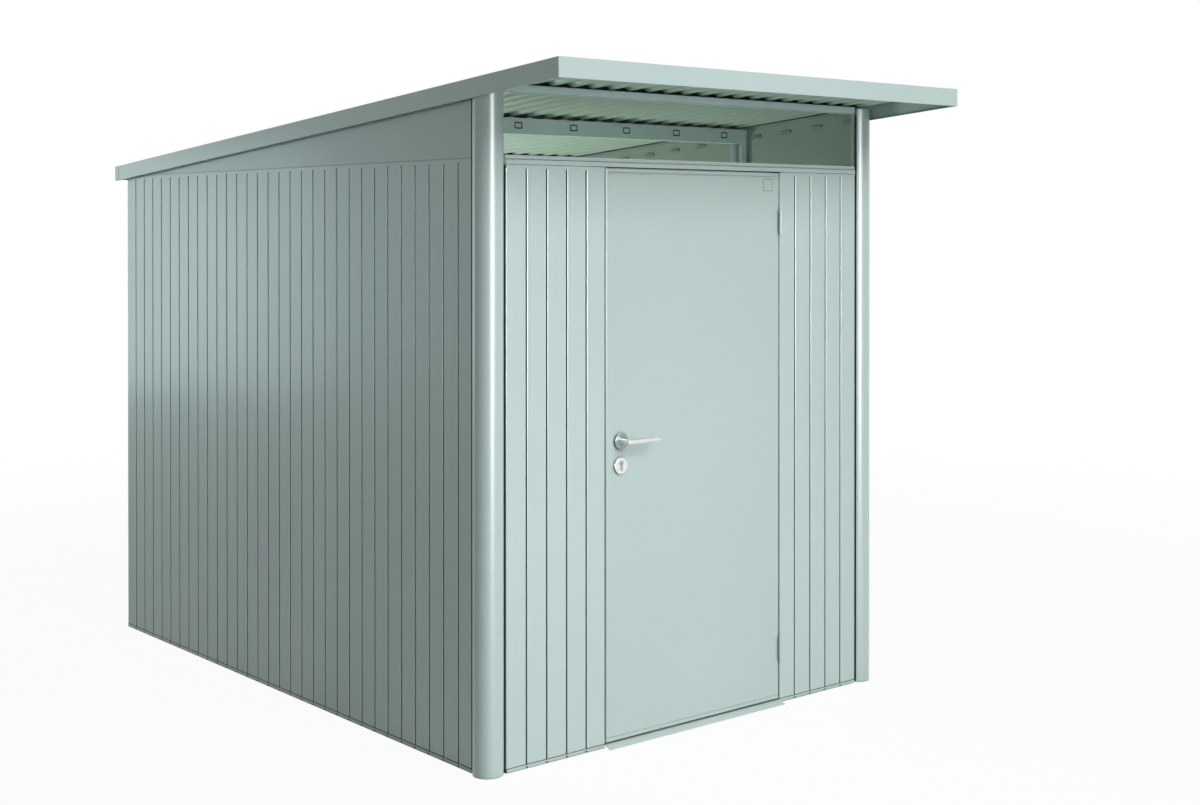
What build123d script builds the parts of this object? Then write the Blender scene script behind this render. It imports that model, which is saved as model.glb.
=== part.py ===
from build123d import *
from math import asin, atan, cos, degrees, radians, sin
import os

# All sizes are millimetres. X runs along the front, Y from front to rear, Z up from the ground.
# The origin is on the ground under the middle of the roof.

# Sheet thicknesses
skin = 0.8
rail_sheet = 1.5
fold = 1.8

# Ribbed walls
rib_pitch = 80.0
groove_width = 9.0
groove_depth = 10.0
lap_width = 6.0
wall_half_width = 876.5
side_sheets = 3
sheet_ribs = 10
first_side_groove = 144.6
wall_head_rise = 16.0
flat_band = 12.0
seam_gap = 0.5
post_notch_gap = 1.0

# Base rails
rail_height = 16.0
rail_depth = 40.0
rail_inner_height = 25.0
rail_skin = 1.2
notch_width = 8.0
notch_height = 6.0
anchor_radius = 5.5
anchor_inset = 172.0

# Round front corner posts
post_radius = 48.0
post_side_inset = 32.3
post_front_inset = 32.0
post_edge_reach = 1.0
side_joint = 72.0
front_joint_inset = 79.5
post_top_gap = 1.5

# Doorway and door leaf
door_half_opening = 403.0
door_gap = 6.0
leaf_bottom = 16.5
leaf_head_gap = 5.0
leaf_depth = 25.0
leaf_flange = 20.0
fold_line = 13.0
stop_gap = 5.0
stop_cover = 17.0
stop_end_gap = 1.0
panel_gap = 2.0
fold_band = 6.0
fold_groove = 2.0
stiffener_middles = (500.0, 1400.0)
stiffener_height = 80.0
jamb_width = 36.0
sill_top = 11.0
sill_run = 30.0
sill_back = 45.0

# Lintel, transom beam and pane
lintel_bottom = 1872.0
lintel_height = 28.0
lintel_band = 14.0
bead_setback = 3.0
bead_lip = 2.0
beam_drop = 69.0
beam_front_depth = 32.0
beam_setback = 1.0
beam_lip = 10.0
beam_end_reach = 3.0
pane_sheet = 3.0
pane_setback = 12.0
pane_seat = 5.0
pane_fit = 0.3

# Roof
roof_length = 3000.0
front_overhang = 388.0
rear_overhang = 69.0
side_overhang = 25.5
roof_front_rise = 277.0
roof_rear_rise = 42.5
fascia_height = 60.0
rear_fascia_height = 55.0
fascia_return = 35.0
fascia_lip = 12.0
verge_lip = 8.0
wave_pitch = 80.0
wave_height = 13.0
wave_start = -35.0
wave_facet_count = 4
lap_wave_count = 8
lap_rise = 1.1
roof_clearance = 0.1
verge_cover = 40.0

# Inner beams and wall posts
beam_height = 56.0
beam_depth = 50.0
roof_beam_lip = 12.0
beam_ribs = (7, 20)
wall_post_depth = 33.0
wall_post_width = 58.0
wall_post_reach = 45.0

# Gable vents
vent_length = 60.0
vent_height = 9.0
vent_pitch = 160.0
vent_drop = 55.0
vent_ease = 3.0
first_vent = 100.0
gable_gap = 3.0
gable_lap = 13.0
gable_flange = 15.0
eave_fit = 0.1

# Hinges
hinge_radius = 6.5
hinge_pin_radius = 4.0
pin_clearance = 0.05
hinge_length = 86.0
hinge_stand_off = 7.0
hinge_plate = 2.0
hinge_plate_depth = 22.0
hinge_knuckle_gap = 0.5
knuckle_cap = 3.0
pin_end_gap = 2.0
hinge_foot_inset = 176.5
hinge_head_inset = 171.0

# Lock and lever
lever_inset = 58.0
lever_z = 984.5
cylinder_z = 904.5
rose_radius = 27.0
rose_thickness = 9.0
rosette_thickness = 7.0
lock_width = 98.0
lock_height = 210.0
neck_radius = 9.5
neck_length = 55.0
neck_seat = 2.0
arm_length = 135.0
arm_depth = 11.0
arm_tip_height = 13.0
arm_tip_depth = 8.0
arm_ease = 2.5
neck_fit = 0.5
rose_edge = 1.5
spigot_wall = 3.0
spigot_fit = 0.1
cylinder_radius = 14.0
key_barrel_radius = 8.5
key_slot_width = 10.0
key_profile_height = 33.0
key_recess = 1.0
spindle_side = 8.0
strike_length = 160.0
strike_sheet = 1.0
strike_setback = 11.0

# How far a cutting shape runs past the piece that it cuts
over = 1.0

# Where things stand, worked out from the sizes above
front_y = -roof_length / 2 + front_overhang
rear_y = roof_length / 2 - rear_overhang
side_first_y = front_y + first_side_groove
side_ribs = int((rear_y - side_first_y - groove_width) // rib_pitch) + 1
sheet_length = sheet_ribs * rib_pitch
post_centre_x = wall_half_width - post_side_inset
front_joint = wall_half_width - front_joint_inset
beam_half_length = front_joint + beam_end_reach
leaf_half_width = door_half_opening - door_gap
lever_x = lever_inset - leaf_half_width
leaf_top = lintel_bottom - leaf_head_gap
lintel_step = lintel_bottom + lintel_band
lintel_top = lintel_bottom + lintel_height
wall_top = lintel_bottom + wall_head_rise
hinge_middles = (leaf_bottom + hinge_foot_inset, leaf_top - hinge_head_inset)
roof_half_width = wall_half_width + side_overhang
roof_front_top = wall_top + roof_front_rise
beam_bottom = roof_front_top - beam_drop
roof_fall = (roof_front_rise - roof_rear_rise) / roof_length
panel_top = lintel_bottom - panel_gap
lintel_depth = leaf_depth + stop_gap + rail_sheet
spigot_radius = neck_radius + neck_fit + spigot_wall
valley_drop = wave_height + lap_rise + skin + roof_clearance


def roof_z(y):
    # Height of the roof's top line above the ground
    return roof_front_top - (y + roof_length / 2) * roof_fall


def under_wave(y):
    # Height of the underside of the corrugated sheets' valleys
    return roof_z(y) - valley_drop


def turned_left(line, distance):
    # The open line moved to its left by a distance, with mitred corners
    points = [Vector(*point) for point in line]
    moved = []
    for index, here in enumerate(points):
        before = points[index - 1] if index > 0 else None
        after = points[index + 1] if index < len(points) - 1 else None
        way_in = (here - before).normalized() if before is not None else (after - here).normalized()
        way_out = (after - here).normalized() if after is not None else way_in
        side_in = Vector(-way_in.Y, way_in.X)
        side_out = Vector(-way_out.Y, way_out.X)
        mitre = (side_in + side_out) * (distance / (1 + side_in.dot(side_out)))
        moved.append(here + mitre)
    return [(point.X, point.Y) for point in moved]


def eased_line(line, eases):
    # The line with a short facet in place of each bend that has an ease
    points = [Vector(*point) for point in line]
    eased = [points[0]]
    for index in range(1, len(points) - 1):
        here = points[index]
        if eases[index] == 0:
            eased.append(here)
            continue
        eased.append(here + (points[index - 1] - here).normalized() * eases[index])
        eased.append(here + (points[index + 1] - here).normalized() * eases[index])
    eased.append(points[-1])
    return [(point.X, point.Y) for point in eased]


def bent_sheet(line, thickness, eases=None):
    # The section of a folded sheet, laid to the left of a line
    outer = eased_line(line, eases) if eases else list(line)
    inner = turned_left(outer, thickness)
    return make_face(Polyline(*outer, *inner[::-1], close=True))


def upright(face, low, high):
    # A plan section drawn out between two heights
    return Pos(0, 0, low) * extrude(face, high - low)


def along_x(face, start, end):
    # A section drawn as Y and Z, drawn out along X
    return extrude(Plane.YZ.offset(start) * face, end - start)


def block(x_low, x_high, y_low, y_high, z_low, z_high):
    return Pos(x_low, y_low, z_low) * Box(
        x_high - x_low, y_high - y_low, z_high - z_low, align=(Align.MIN, Align.MIN, Align.MIN)
    )


def slope_strip(x_low, x_high, y_low, y_high, top, bottom):
    # A strip with upright ends that follows the roof, between two drops below its top line
    points = [
        (y_low, roof_z(y_low) - bottom),
        (y_high, roof_z(y_high) - bottom),
        (y_high, roof_z(y_high) - top),
        (y_low, roof_z(y_low) - top),
    ]
    return along_x(make_face(Polyline(*points, close=True)), x_low, x_high)


def mirrored(part):
    return mirror(part, about=Plane.YZ)


# Ribbed wall sheets, drawn with their outer face towards -Y
def sheet_line(start, end, grooves, end_kind):
    # The outer line of a sheet's plan section and the ease of each bend
    half = groove_width / 2
    line = [(start, groove_depth), (start, 0)]
    eases = [0, fold]
    for groove in grooves:
        line += [(groove - half, 0), (groove - half, groove_depth)]
        line += [(groove + half, groove_depth), (groove + half, 0)]
        eases += [0, 0, 0, 0]
    if end_kind == "turned":
        line += [(end, 0), (end, groove_depth)]
        eases += [fold, 0]
    if end_kind == "lap":
        line += [(end - half, 0), (end - half, groove_depth), (end + half + lap_width, groove_depth)]
        eases += [0, 0, 0]
    if end_kind == "square":
        line += [(end, 0)]
        eases += [0]
    return line, eases


def ribbed_sheet(start, end, grooves, end_kind, top=wall_top, notches=()):
    # Ribs up to a flat band, whose inward flange closes the grooves and is notched for the posts
    line, eases = sheet_line(start, end, grooves, end_kind)
    rib_top = top - flat_band
    half = groove_width / 2
    reach = groove_depth + skin
    part = upright(bent_sheet(line, skin, eases), rail_skin, rib_top)
    band_end = end - half if end_kind == "lap" else end
    part += block(start, band_end, 0, skin, rib_top, top)
    ends = [grooves[0] - half - skin, grooves[-1] + half + skin]
    ends = sorted(ends + [edge for notch in notches for edge in notch])
    for low, high in zip(ends[::2], ends[1::2]):
        part += block(low, high, 0, reach, rib_top, rib_top + skin)
    if end_kind == "lap":
        part += block(band_end - skin, end + half, 0, reach, rib_top, rib_top + skin)
    return part


def rib_positions(first, count):
    return [first + index * rib_pitch for index in range(count)]


def post_notches(low, high):
    # The stretches between two grooves of a side wall that the wall posts stand in
    spans = []
    for rib in beam_ribs:
        start = post_front(rib) - post_notch_gap
        end = post_front(rib) + wall_post_width + post_notch_gap
        if low < start and end < high:
            spans.append((start, end))
    return spans


def side_sheet(index):
    # A side sheet of the right wall, numbered from the front and drawn from front to rear
    start_line = side_first_y - rib_pitch + index * sheet_length
    first = start_line + rib_pitch
    start = start_line + groove_width / 2 if index else front_y + side_joint
    if index < side_sheets - 1:
        grooves = rib_positions(first, sheet_ribs - 1)
        end, end_kind = start_line + sheet_length, "lap"
    else:
        grooves = rib_positions(first, side_ribs - index * sheet_ribs)
        end, end_kind = rear_y, "square"
    notches = post_notches(grooves[0], grooves[-1])
    sheet = ribbed_sheet(start, end, grooves, end_kind, notches=notches)
    return Pos(wall_half_width, 0, 0) * Rot(0, 0, 90) * sheet


def rear_sheet(side):
    # The rear wall's two sheets, which meet in the middle
    half_width = wall_half_width - skin
    count = int((half_width - groove_width) // rib_pitch)
    if side < 0:
        sheet = ribbed_sheet(-half_width, 0, rib_positions(-count * rib_pitch, count), "lap")
    else:
        sheet = ribbed_sheet(groove_width / 2, half_width, rib_positions(rib_pitch, count), "turned")
    return Pos(0, rear_y, 0) * Rot(0, 0, 180) * sheet


def front_grooves():
    # Groove places on the left front panel, at whole pitches from the middle of the front
    first = int((door_half_opening + groove_width) // rib_pitch) + 1
    last = int((front_joint - groove_width) // rib_pitch)
    return rib_positions(-last * rib_pitch, last - first + 1)


def front_panel():
    # The left front panel, between the corner post and the door
    sheet = ribbed_sheet(-front_joint, -door_half_opening, front_grooves(), "turned", panel_top)
    return Pos(0, front_y, 0) * sheet


# Base rails and sill
def drain_notch(x):
    # A pointed notch in the rail's outer leg, under a groove
    half = notch_width / 2
    points = [
        (x, rail_height - notch_height),
        (x + half, rail_height),
        (x + half, rail_height + over),
        (x - half, rail_height + over),
        (x - half, rail_height),
    ]
    return extrude(Plane.XZ * make_face(Polyline(*points, close=True)), 2 * rail_skin, both=True)


def base_rail(length_low, length_high, notches):
    # A rail drawn with its outer face towards -Y, as the wall sheets are
    line = [
        (-rail_skin, rail_height),
        (-rail_skin, 0),
        (rail_depth, 0),
        (rail_depth, rail_inner_height),
    ]
    rail = along_x(bent_sheet(line, rail_skin), length_low, length_high)
    return rail - [drain_notch(notch) for notch in notches]


def side_rail():
    grooves = rib_positions(side_first_y, side_ribs)
    rail = base_rail(front_y + side_joint, rear_y, grooves)
    top = rail_inner_height + over
    rail -= block(rear_y - rail_depth, rear_y + over, rail_depth / 2, rail_depth + over, rail_skin, top)
    for y in (front_y + anchor_inset, rear_y - anchor_inset):
        rail -= Pos(y, rail_depth / 2, 0) * Cylinder(anchor_radius, 4 * rail_skin)
    return Pos(wall_half_width, 0, 0) * Rot(0, 0, 90) * rail


def rear_rail():
    count = int((wall_half_width - skin) // rib_pitch)
    half_length = wall_half_width - rail_depth
    grooves = [rib_pitch * index for index in range(-count, count + 1)]
    grooves = [groove for groove in grooves if abs(groove) < half_length - notch_width]
    rail = base_rail(-half_length, half_length, grooves)
    return Pos(0, rear_y, 0) * Rot(0, 0, 180) * rail


def front_rail():
    return Pos(0, front_y, 0) * base_rail(-front_joint, -door_half_opening - rail_sheet, front_grooves())


def door_sill():
    line = [
        (sill_back, 0),
        (sill_back, sill_top),
        (0, sill_top),
        (-sill_run, 0),
    ]
    sill = along_x(bent_sheet(line, rail_sheet), -door_half_opening, door_half_opening)
    sill -= block(-door_half_opening, door_half_opening, -sill_run, 0, -sill_top, 0)
    return Pos(0, front_y, 0) * sill


# Round corner post on the left of the front
def corner_post():
    centre = Vector(-post_centre_x, front_y + post_front_inset)
    inner_radius = post_radius - rail_sheet
    side_angle = 90 + degrees(asin((post_side_inset + post_edge_reach) / post_radius))
    front_angle = 360 - degrees(asin(post_front_inset / post_radius))
    middle_angle = (side_angle + front_angle) / 2

    def on_circle(radius, angle):
        return centre + Vector(radius * cos(radians(angle)), radius * sin(radians(angle)))

    outer = ThreePointArc(*[on_circle(post_radius, a) for a in (side_angle, middle_angle, front_angle)])
    inner = ThreePointArc(*[on_circle(inner_radius, a) for a in (side_angle, middle_angle, front_angle)])
    section = make_face(Wire([outer, Line(outer @ 1, inner @ 1), inner, Line(inner @ 0, outer @ 0)]))
    height = under_wave(front_y + side_joint) - post_top_gap
    post = upright(section, 0, height)
    side_start = outer @ 0
    front_start = outer @ 1
    depth_x = -wall_half_width + groove_depth
    side_line = [
        (depth_x, front_y + side_joint + lap_width),
        (depth_x, side_start.Y),
        (side_start.X, side_start.Y),
    ]
    depth_y = front_y + groove_depth
    front_line = [
        (front_start.X, front_start.Y),
        (front_start.X, depth_y),
        (-front_joint + lap_width, depth_y),
    ]
    post += upright(bent_sheet(side_line, rail_sheet), rail_skin, height)
    post += upright(bent_sheet(front_line, rail_sheet), rail_skin, panel_top)
    return post


# Rear corner angle inside the two sheets
def rear_corner():
    x_outer = -wall_half_width + skin
    y_outer = rear_y - skin
    leg = rail_depth - rail_skin - groove_depth - skin - seam_gap
    line = [
        (x_outer + groove_depth + leg, y_outer - groove_depth),
        (x_outer + groove_depth, y_outer - groove_depth),
        (x_outer + groove_depth, y_outer - groove_depth - leg),
    ]
    return upright(bent_sheet(line, rail_sheet), rail_sheet, wall_top - flat_band)


# Doorway frame
def door_jamb():
    # The left jamb, a channel behind the front panel's edge
    web = -door_half_opening - skin
    back = front_y + leaf_depth + stop_gap + rail_sheet
    line = [
        (web - jamb_width, front_y + skin),
        (web, front_y + skin),
        (web, back),
        (web - jamb_width, back),
    ]
    return upright(bent_sheet(line, rail_sheet, [0, fold, 0, 0]), rail_skin, panel_top)


def door_stops():
    face = front_y + leaf_depth + stop_gap + rail_sheet
    inner = leaf_half_width - stop_cover
    outer = door_half_opening + jamb_width / 2
    left = block(-outer, -inner, face, face + rail_sheet, sill_top, lintel_bottom)
    right = block(inner, outer, face, face + rail_sheet, sill_top, lintel_bottom)
    top_low = leaf_top - stop_cover
    top_half = inner - stop_end_gap
    top = block(-top_half, top_half, face, face + rail_sheet, top_low, lintel_top)
    return left, right, top


def door_lintel():
    line = [
        (front_y + lintel_depth, lintel_bottom),
        (front_y, lintel_bottom),
        (front_y, lintel_step),
        (front_y + bead_setback + bead_lip, lintel_step),
        (front_y + bead_setback + bead_lip, lintel_step + bead_lip),
        (front_y + bead_setback, lintel_step + bead_lip),
        (front_y + bead_setback, lintel_top),
        (front_y + lintel_depth, lintel_top),
    ]
    section = bent_sheet(line[::-1], rail_sheet)
    return along_x(section, -beam_half_length, beam_half_length)


def transom_beam():
    face = front_y + beam_setback
    top = under_wave(front_y + beam_front_depth)
    line = [
        (front_y + beam_front_depth, top),
        (face, top),
        (face, beam_bottom),
        (front_y + beam_front_depth, beam_bottom),
        (front_y + beam_front_depth, beam_bottom + beam_lip),
    ]
    beam = along_x(bent_sheet(line, rail_sheet), -beam_half_length, beam_half_length)
    pane_front = front_y + pane_setback
    for lip in (pane_front - rail_sheet - pane_fit, pane_front + pane_sheet + pane_fit):
        beam += block(
            -beam_half_length, beam_half_length, lip, lip + rail_sheet, beam_bottom - pane_seat, beam_bottom
        )
    return beam


def transom_pane():
    return block(
        -beam_half_length,
        beam_half_length,
        front_y + pane_setback,
        front_y + pane_setback + pane_sheet,
        lintel_top,
        beam_bottom,
    )


# Inner beams under the roof and the posts that carry their ends
def beam_front_y(rib):
    middle = side_first_y + (rib - 1) * rib_pitch + rib_pitch / 2
    return middle - wall_post_width / 2 + rail_sheet


def roof_beam(rib):
    face = beam_front_y(rib)
    rear = face + beam_depth
    top = under_wave(rear) - skin
    bottom = top - beam_height
    line = [
        (rear, top - roof_beam_lip),
        (rear, top),
        (face, top),
        (face, bottom),
        (rear, bottom),
        (rear, bottom + roof_beam_lip),
    ]
    half = wall_half_width - 2 * skin - rail_sheet
    return along_x(bent_sheet(line, rail_sheet), -half, half)


def post_front(rib):
    return beam_front_y(rib) - rail_sheet


def wall_post(rib):
    front = post_front(rib)
    rear = front + wall_post_width
    outer = -wall_half_width + 2 * skin
    line = [
        (outer + wall_post_depth, rear),
        (outer, rear),
        (outer, front),
        (outer + wall_post_depth, front),
    ]
    top = under_wave(beam_front_y(rib) + beam_depth) - beam_height + wall_post_reach
    return upright(bent_sheet(line, rail_sheet), rail_inner_height, top)


# Gable panels above the side walls
def vent_places():
    # Along the gable at one pitch, as far back as it is tall enough for a vent
    lowest = wall_top + gable_gap + vent_height
    last = (roof_front_top - vent_drop - lowest) / roof_fall - roof_length / 2 - vent_length
    first = front_y + first_vent
    count = int((last - first) // vent_pitch) + 1
    return [first + index * vent_pitch for index in range(count)]


def gable_panel():
    # The left gable, from the wall's top to the underside of the roof
    outer = -wall_half_width
    start = front_y + side_joint
    valley = roof_z(0) - under_wave(0)
    bottom = wall_top + gable_gap
    points = [
        (start, bottom),
        (rear_y, bottom),
        (rear_y, under_wave(rear_y)),
        (start, under_wave(start)),
    ]
    panel = along_x(make_face(Polyline(*points, close=True)), outer, outer + skin)
    panel += block(outer, outer + 2 * skin, start, rear_y, bottom, bottom + skin)
    lap_bottom = bottom - gable_lap
    panel += block(outer + skin, outer + 2 * skin, start, rear_y - skin, lap_bottom, bottom)
    flange_end = rear_y - gable_flange - seam_gap
    panel += slope_strip(outer, outer + gable_flange, start, flange_end, valley, valley + skin)
    vent = chamfer(Rectangle(vent_length, vent_height).vertices(), vent_ease)
    for y in vent_places():
        place = Pos(outer, y, roof_z(y) - vent_drop) * Rot(-degrees(atan(roof_fall)), 0, 0)
        panel -= place * extrude(Plane.YZ * vent, 2 * skin, both=True)
    return panel


def eave_rail():
    # The plain band that closes the rear wall under the roof
    line = [
        (rear_y - gable_flange, under_wave(rear_y)),
        (rear_y, under_wave(rear_y)),
        (rear_y, wall_top + gable_gap),
        (rear_y - 2 * skin, wall_top + gable_gap),
        (rear_y - 2 * skin, wall_top - gable_lap + gable_gap),
    ]
    half = wall_half_width - 2 * skin - eave_fit
    return along_x(bent_sheet(line[::-1], skin), -half, half)


# Corrugated roof sheets
def wave_line(first, last, offset):
    # Points from the crossing at index first to that at index last, moved up by an offset
    rise = wave_height - skin
    radius = ((wave_pitch / 2) ** 2 + rise**2) / (4 * rise)
    tilt = asin(wave_pitch / 4 / radius)
    drop = radius * cos(tilt)
    points = []
    for index in range(first, last):
        sign = 1 if index % 2 == 0 else -1
        middle = wave_start + (index + 0.5) * wave_pitch / 2
        reach = radius + sign * offset
        steps = wave_facet_count + (index == last - 1)
        for step in range(steps):
            angle = tilt * (2 * step / wave_facet_count - 1)
            points.append((middle + reach * sin(angle), sign * (reach * cos(angle) - drop)))
    return points


def roof_sheet(first, last, rise):
    upper = wave_line(first, last, skin / 2)
    lower = wave_line(first, last, -skin / 2)
    section = make_face(Polyline(*upper, *lower[::-1], close=True))
    half_wave = (wave_height - skin) / 2
    front = -roof_length / 2 + skin
    height = under_wave(front) + skin / 2 + half_wave + rise
    length = roof_length - 2 * skin
    way = Vector(0, 1, -roof_fall)
    placed = Plane(origin=(0, front, height), x_dir=(1, 0, 0), z_dir=(0, -1, 0)) * section
    return extrude(placed, length * way.length, dir=way)


def roof_sheets():
    # Three sheets that lap over each other, the middle one on top
    room = roof_half_width - 2 * skin
    first = -int((room + wave_start) // (wave_pitch / 2))
    last = int((room - wave_start) // (wave_pitch / 2))
    left = roof_sheet(first, 1 - lap_wave_count, 0)
    middle = roof_sheet(-lap_wave_count, lap_wave_count + 1, lap_rise)
    right = roof_sheet(lap_wave_count, last, 0)
    return left, middle, right


def wrapped_fascia(end, inward, height):
    # A fascia across one end of the roof, with its ends turned back along the sides
    fold_back = end + inward * fascia_return
    side = roof_half_width
    corners = [(-side, fold_back), (-side, end), (side, end), (side, fold_back)]
    plan = bent_sheet(corners if inward > 0 else corners[::-1], skin, [0, fold, fold, 0])
    low, high = sorted((end, fold_back))
    wrap = upright(plan, 0, roof_front_top) & slope_strip(-side, side, low, high, 0, height)
    lip = end + inward * fascia_lip
    line = [
        (lip, roof_z(lip)),
        (end, roof_z(end)),
        (end, roof_z(end) - height),
        (lip, roof_z(end) - height),
    ]
    half = side - 2 * skin
    return wrap + along_x(bent_sheet(line if inward > 0 else line[::-1], skin), -half, half)


def side_fascia():
    outer = -roof_half_width + skin
    half = roof_length / 2
    reach = half - fold - skin
    strip = slope_strip(outer, outer + skin, -reach, reach, 0, fascia_height)
    start = -half + fascia_lip + seam_gap
    strip += slope_strip(outer, outer + verge_lip, start, -start, fascia_height - skin, fascia_height)
    strip += slope_strip(outer, outer + verge_cover, start, -start, 0, skin)
    return strip


# Door leaf and its stiffeners
def door_leaf():
    half = leaf_half_width
    back = front_y + leaf_depth
    line = [
        (-half + leaf_flange, back),
        (-half, back),
        (-half, front_y),
        (half, front_y),
        (half, back),
        (half - leaf_flange, back),
    ]
    leaf = upright(bent_sheet(line, skin, [0, 0, fold, fold, 0, 0]), leaf_bottom, leaf_top)
    for z, radius in ((lever_z, spigot_radius), (cylinder_z, cylinder_radius)):
        leaf -= lying_cylinder(lever_x, z, radius + spigot_fit, front_y - over, front_y + leaf_flange)
    inner = half - fold
    for low in (leaf_bottom, leaf_top - skin):
        leaf += block(-inner, inner, front_y + skin / 2, back, low, low + skin)
    for z in (leaf_bottom + fold_line, leaf_top - fold_line):
        band = fold_band / 2
        groove = fold_groove / 2
        leaf += block(-inner, inner, front_y + skin, front_y + 2 * skin, z - band, z + band)
        leaf -= block(-half - over, half + over, front_y - over, front_y + skin, z - groove, z + groove)
    return leaf


def door_stiffeners():
    ribs = []
    for z in stiffener_middles:
        low = z - stiffener_height / 2
        high = z + stiffener_height / 2
        line = [
            (front_y + skin, low),
            (front_y + leaf_depth - skin, low),
            (front_y + leaf_depth - skin, high),
            (front_y + skin, high),
        ]
        half = leaf_half_width - skin - fold
        ribs.append(along_x(bent_sheet(line, skin), -half, half))
    return ribs


# Hinges on the right edge of the door
def hinge_axis():
    return door_half_opening - door_gap / 2, front_y - hinge_stand_off


def upright_cylinder(x, y, radius, low, high):
    return Pos(x, y, low) * Cylinder(radius, high - low, align=(Align.CENTER, Align.CENTER, Align.MIN))


def fixed_hinge(middle):
    # The lower knuckle, with its plate on the frame and the pin that stands out of it
    x, y = hinge_axis()
    low = middle - hinge_length / 2
    high = middle - hinge_knuckle_gap / 2
    side = door_half_opening
    plate = block(side - hinge_plate, side, y, front_y + hinge_plate_depth, low, high)
    pin_top = middle + hinge_length / 2 - knuckle_cap - pin_end_gap
    pin = upright_cylinder(x, y, hinge_pin_radius, low, pin_top)
    return upright_cylinder(x, y, hinge_radius, low, high) + plate + pin


def moving_hinge(middle):
    # The upper knuckle, with its plate on the door and the bore that turns on the pin
    x, y = hinge_axis()
    low = middle + hinge_knuckle_gap / 2
    high = middle + hinge_length / 2
    side = leaf_half_width
    plate = block(side, side + hinge_plate, y, front_y + hinge_plate_depth, low, high)
    bore = upright_cylinder(x, y, hinge_pin_radius + pin_clearance, low, high - knuckle_cap)
    return upright_cylinder(x, y, hinge_radius, low, high) + plate - bore


# Lock, roses and lever
def lying_cylinder(x, z, radius, y_low, y_high):
    # A round bar that points through the door
    middle = (y_low + y_high) / 2
    return Pos(x, middle, z) * Rot(90, 0, 0) * Cylinder(radius, y_high - y_low)


def turned_rose(z, thickness):
    # A rose on the outside of the door, with its rim eased
    disc = lying_cylinder(lever_x, z, rose_radius, front_y - thickness, front_y)
    rims = disc.edges().filter_by(GeomType.CIRCLE).sort_by(Axis.Y)
    return chamfer(rims[0], rose_edge)


def key_profile():
    # The outline of a profile cylinder's face, round above and narrow below
    barrel_middle = key_profile_height / 2 - key_barrel_radius
    foot_middle = key_slot_width / 2 - key_profile_height / 2
    waist = Rectangle(key_slot_width, barrel_middle - foot_middle)
    barrel = Pos(0, barrel_middle) * Circle(key_barrel_radius)
    foot = Pos(0, foot_middle) * Circle(key_slot_width / 2)
    return barrel + foot + Pos(0, (barrel_middle + foot_middle) / 2) * waist


def lock_case():
    # The case in the door with its roses and key rosettes, which clamp the leaf through two spigots
    left = -leaf_half_width + skin + fold
    middle = (lever_z + cylinder_z) / 2
    low = middle - lock_height / 2
    high = middle + lock_height / 2
    back = front_y + leaf_depth
    case = block(left, left + lock_width, front_y + skin, back, low, high)
    case -= block(left - over, left + leaf_flange, back - skin, back + over, low - over, high + over)
    for z, thickness, radius in (
        (lever_z, rose_thickness, spigot_radius),
        (cylinder_z, rosette_thickness, cylinder_radius),
    ):
        case += turned_rose(z, thickness)
        case += lying_cylinder(lever_x, z, rose_radius, back, back + thickness)
        case += lying_cylinder(lever_x, z, radius, front_y - rose_edge, front_y + 2 * skin)
    bore = neck_radius + neck_fit
    bore_reach = rose_thickness + over
    case -= lying_cylinder(lever_x, lever_z, bore, front_y - bore_reach, back + bore_reach)
    face = front_y - rosette_thickness
    place = Plane(origin=(lever_x, face, cylinder_z), x_dir=(1, 0, 0), z_dir=(0, -1, 0))
    return case - extrude(place * key_profile(), key_recess, both=True)


def lever_half(outside):
    # Neck and tapering arm, drawn for the outside and turned over for the inside
    start = neck_seat - rose_thickness
    neck = lying_cylinder(0, 0, neck_radius, -neck_length, start)
    arm_start = Plane(origin=(-neck_radius, -neck_length, 0), x_dir=(0, 1, 0), z_dir=(1, 0, 0))
    arm_end = arm_start.offset(arm_length + neck_radius)
    root = arm_start * chamfer(Rectangle(arm_depth, 2 * neck_radius).vertices(), arm_ease)
    tip = arm_end * chamfer(Rectangle(arm_tip_depth, arm_tip_height).vertices(), arm_ease)
    lever = neck + loft([root, tip], ruled=True)
    if outside:
        half = spindle_side / 2
        lever += block(-half, half, start, leaf_depth - start, -half, half)
        return Pos(lever_x, front_y, lever_z) * lever
    return Pos(lever_x, front_y + leaf_depth, lever_z) * mirror(lever, about=Plane.XZ)


def strike_plate():
    # The keep on the left jamb, beside the lock
    middle = (lever_z + cylinder_z) / 2
    x = -door_half_opening - skin
    half = strike_length / 2
    front = front_y + strike_setback
    return block(x, x + strike_sheet, front, front_y + leaf_depth, middle - half, middle + half)


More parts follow.
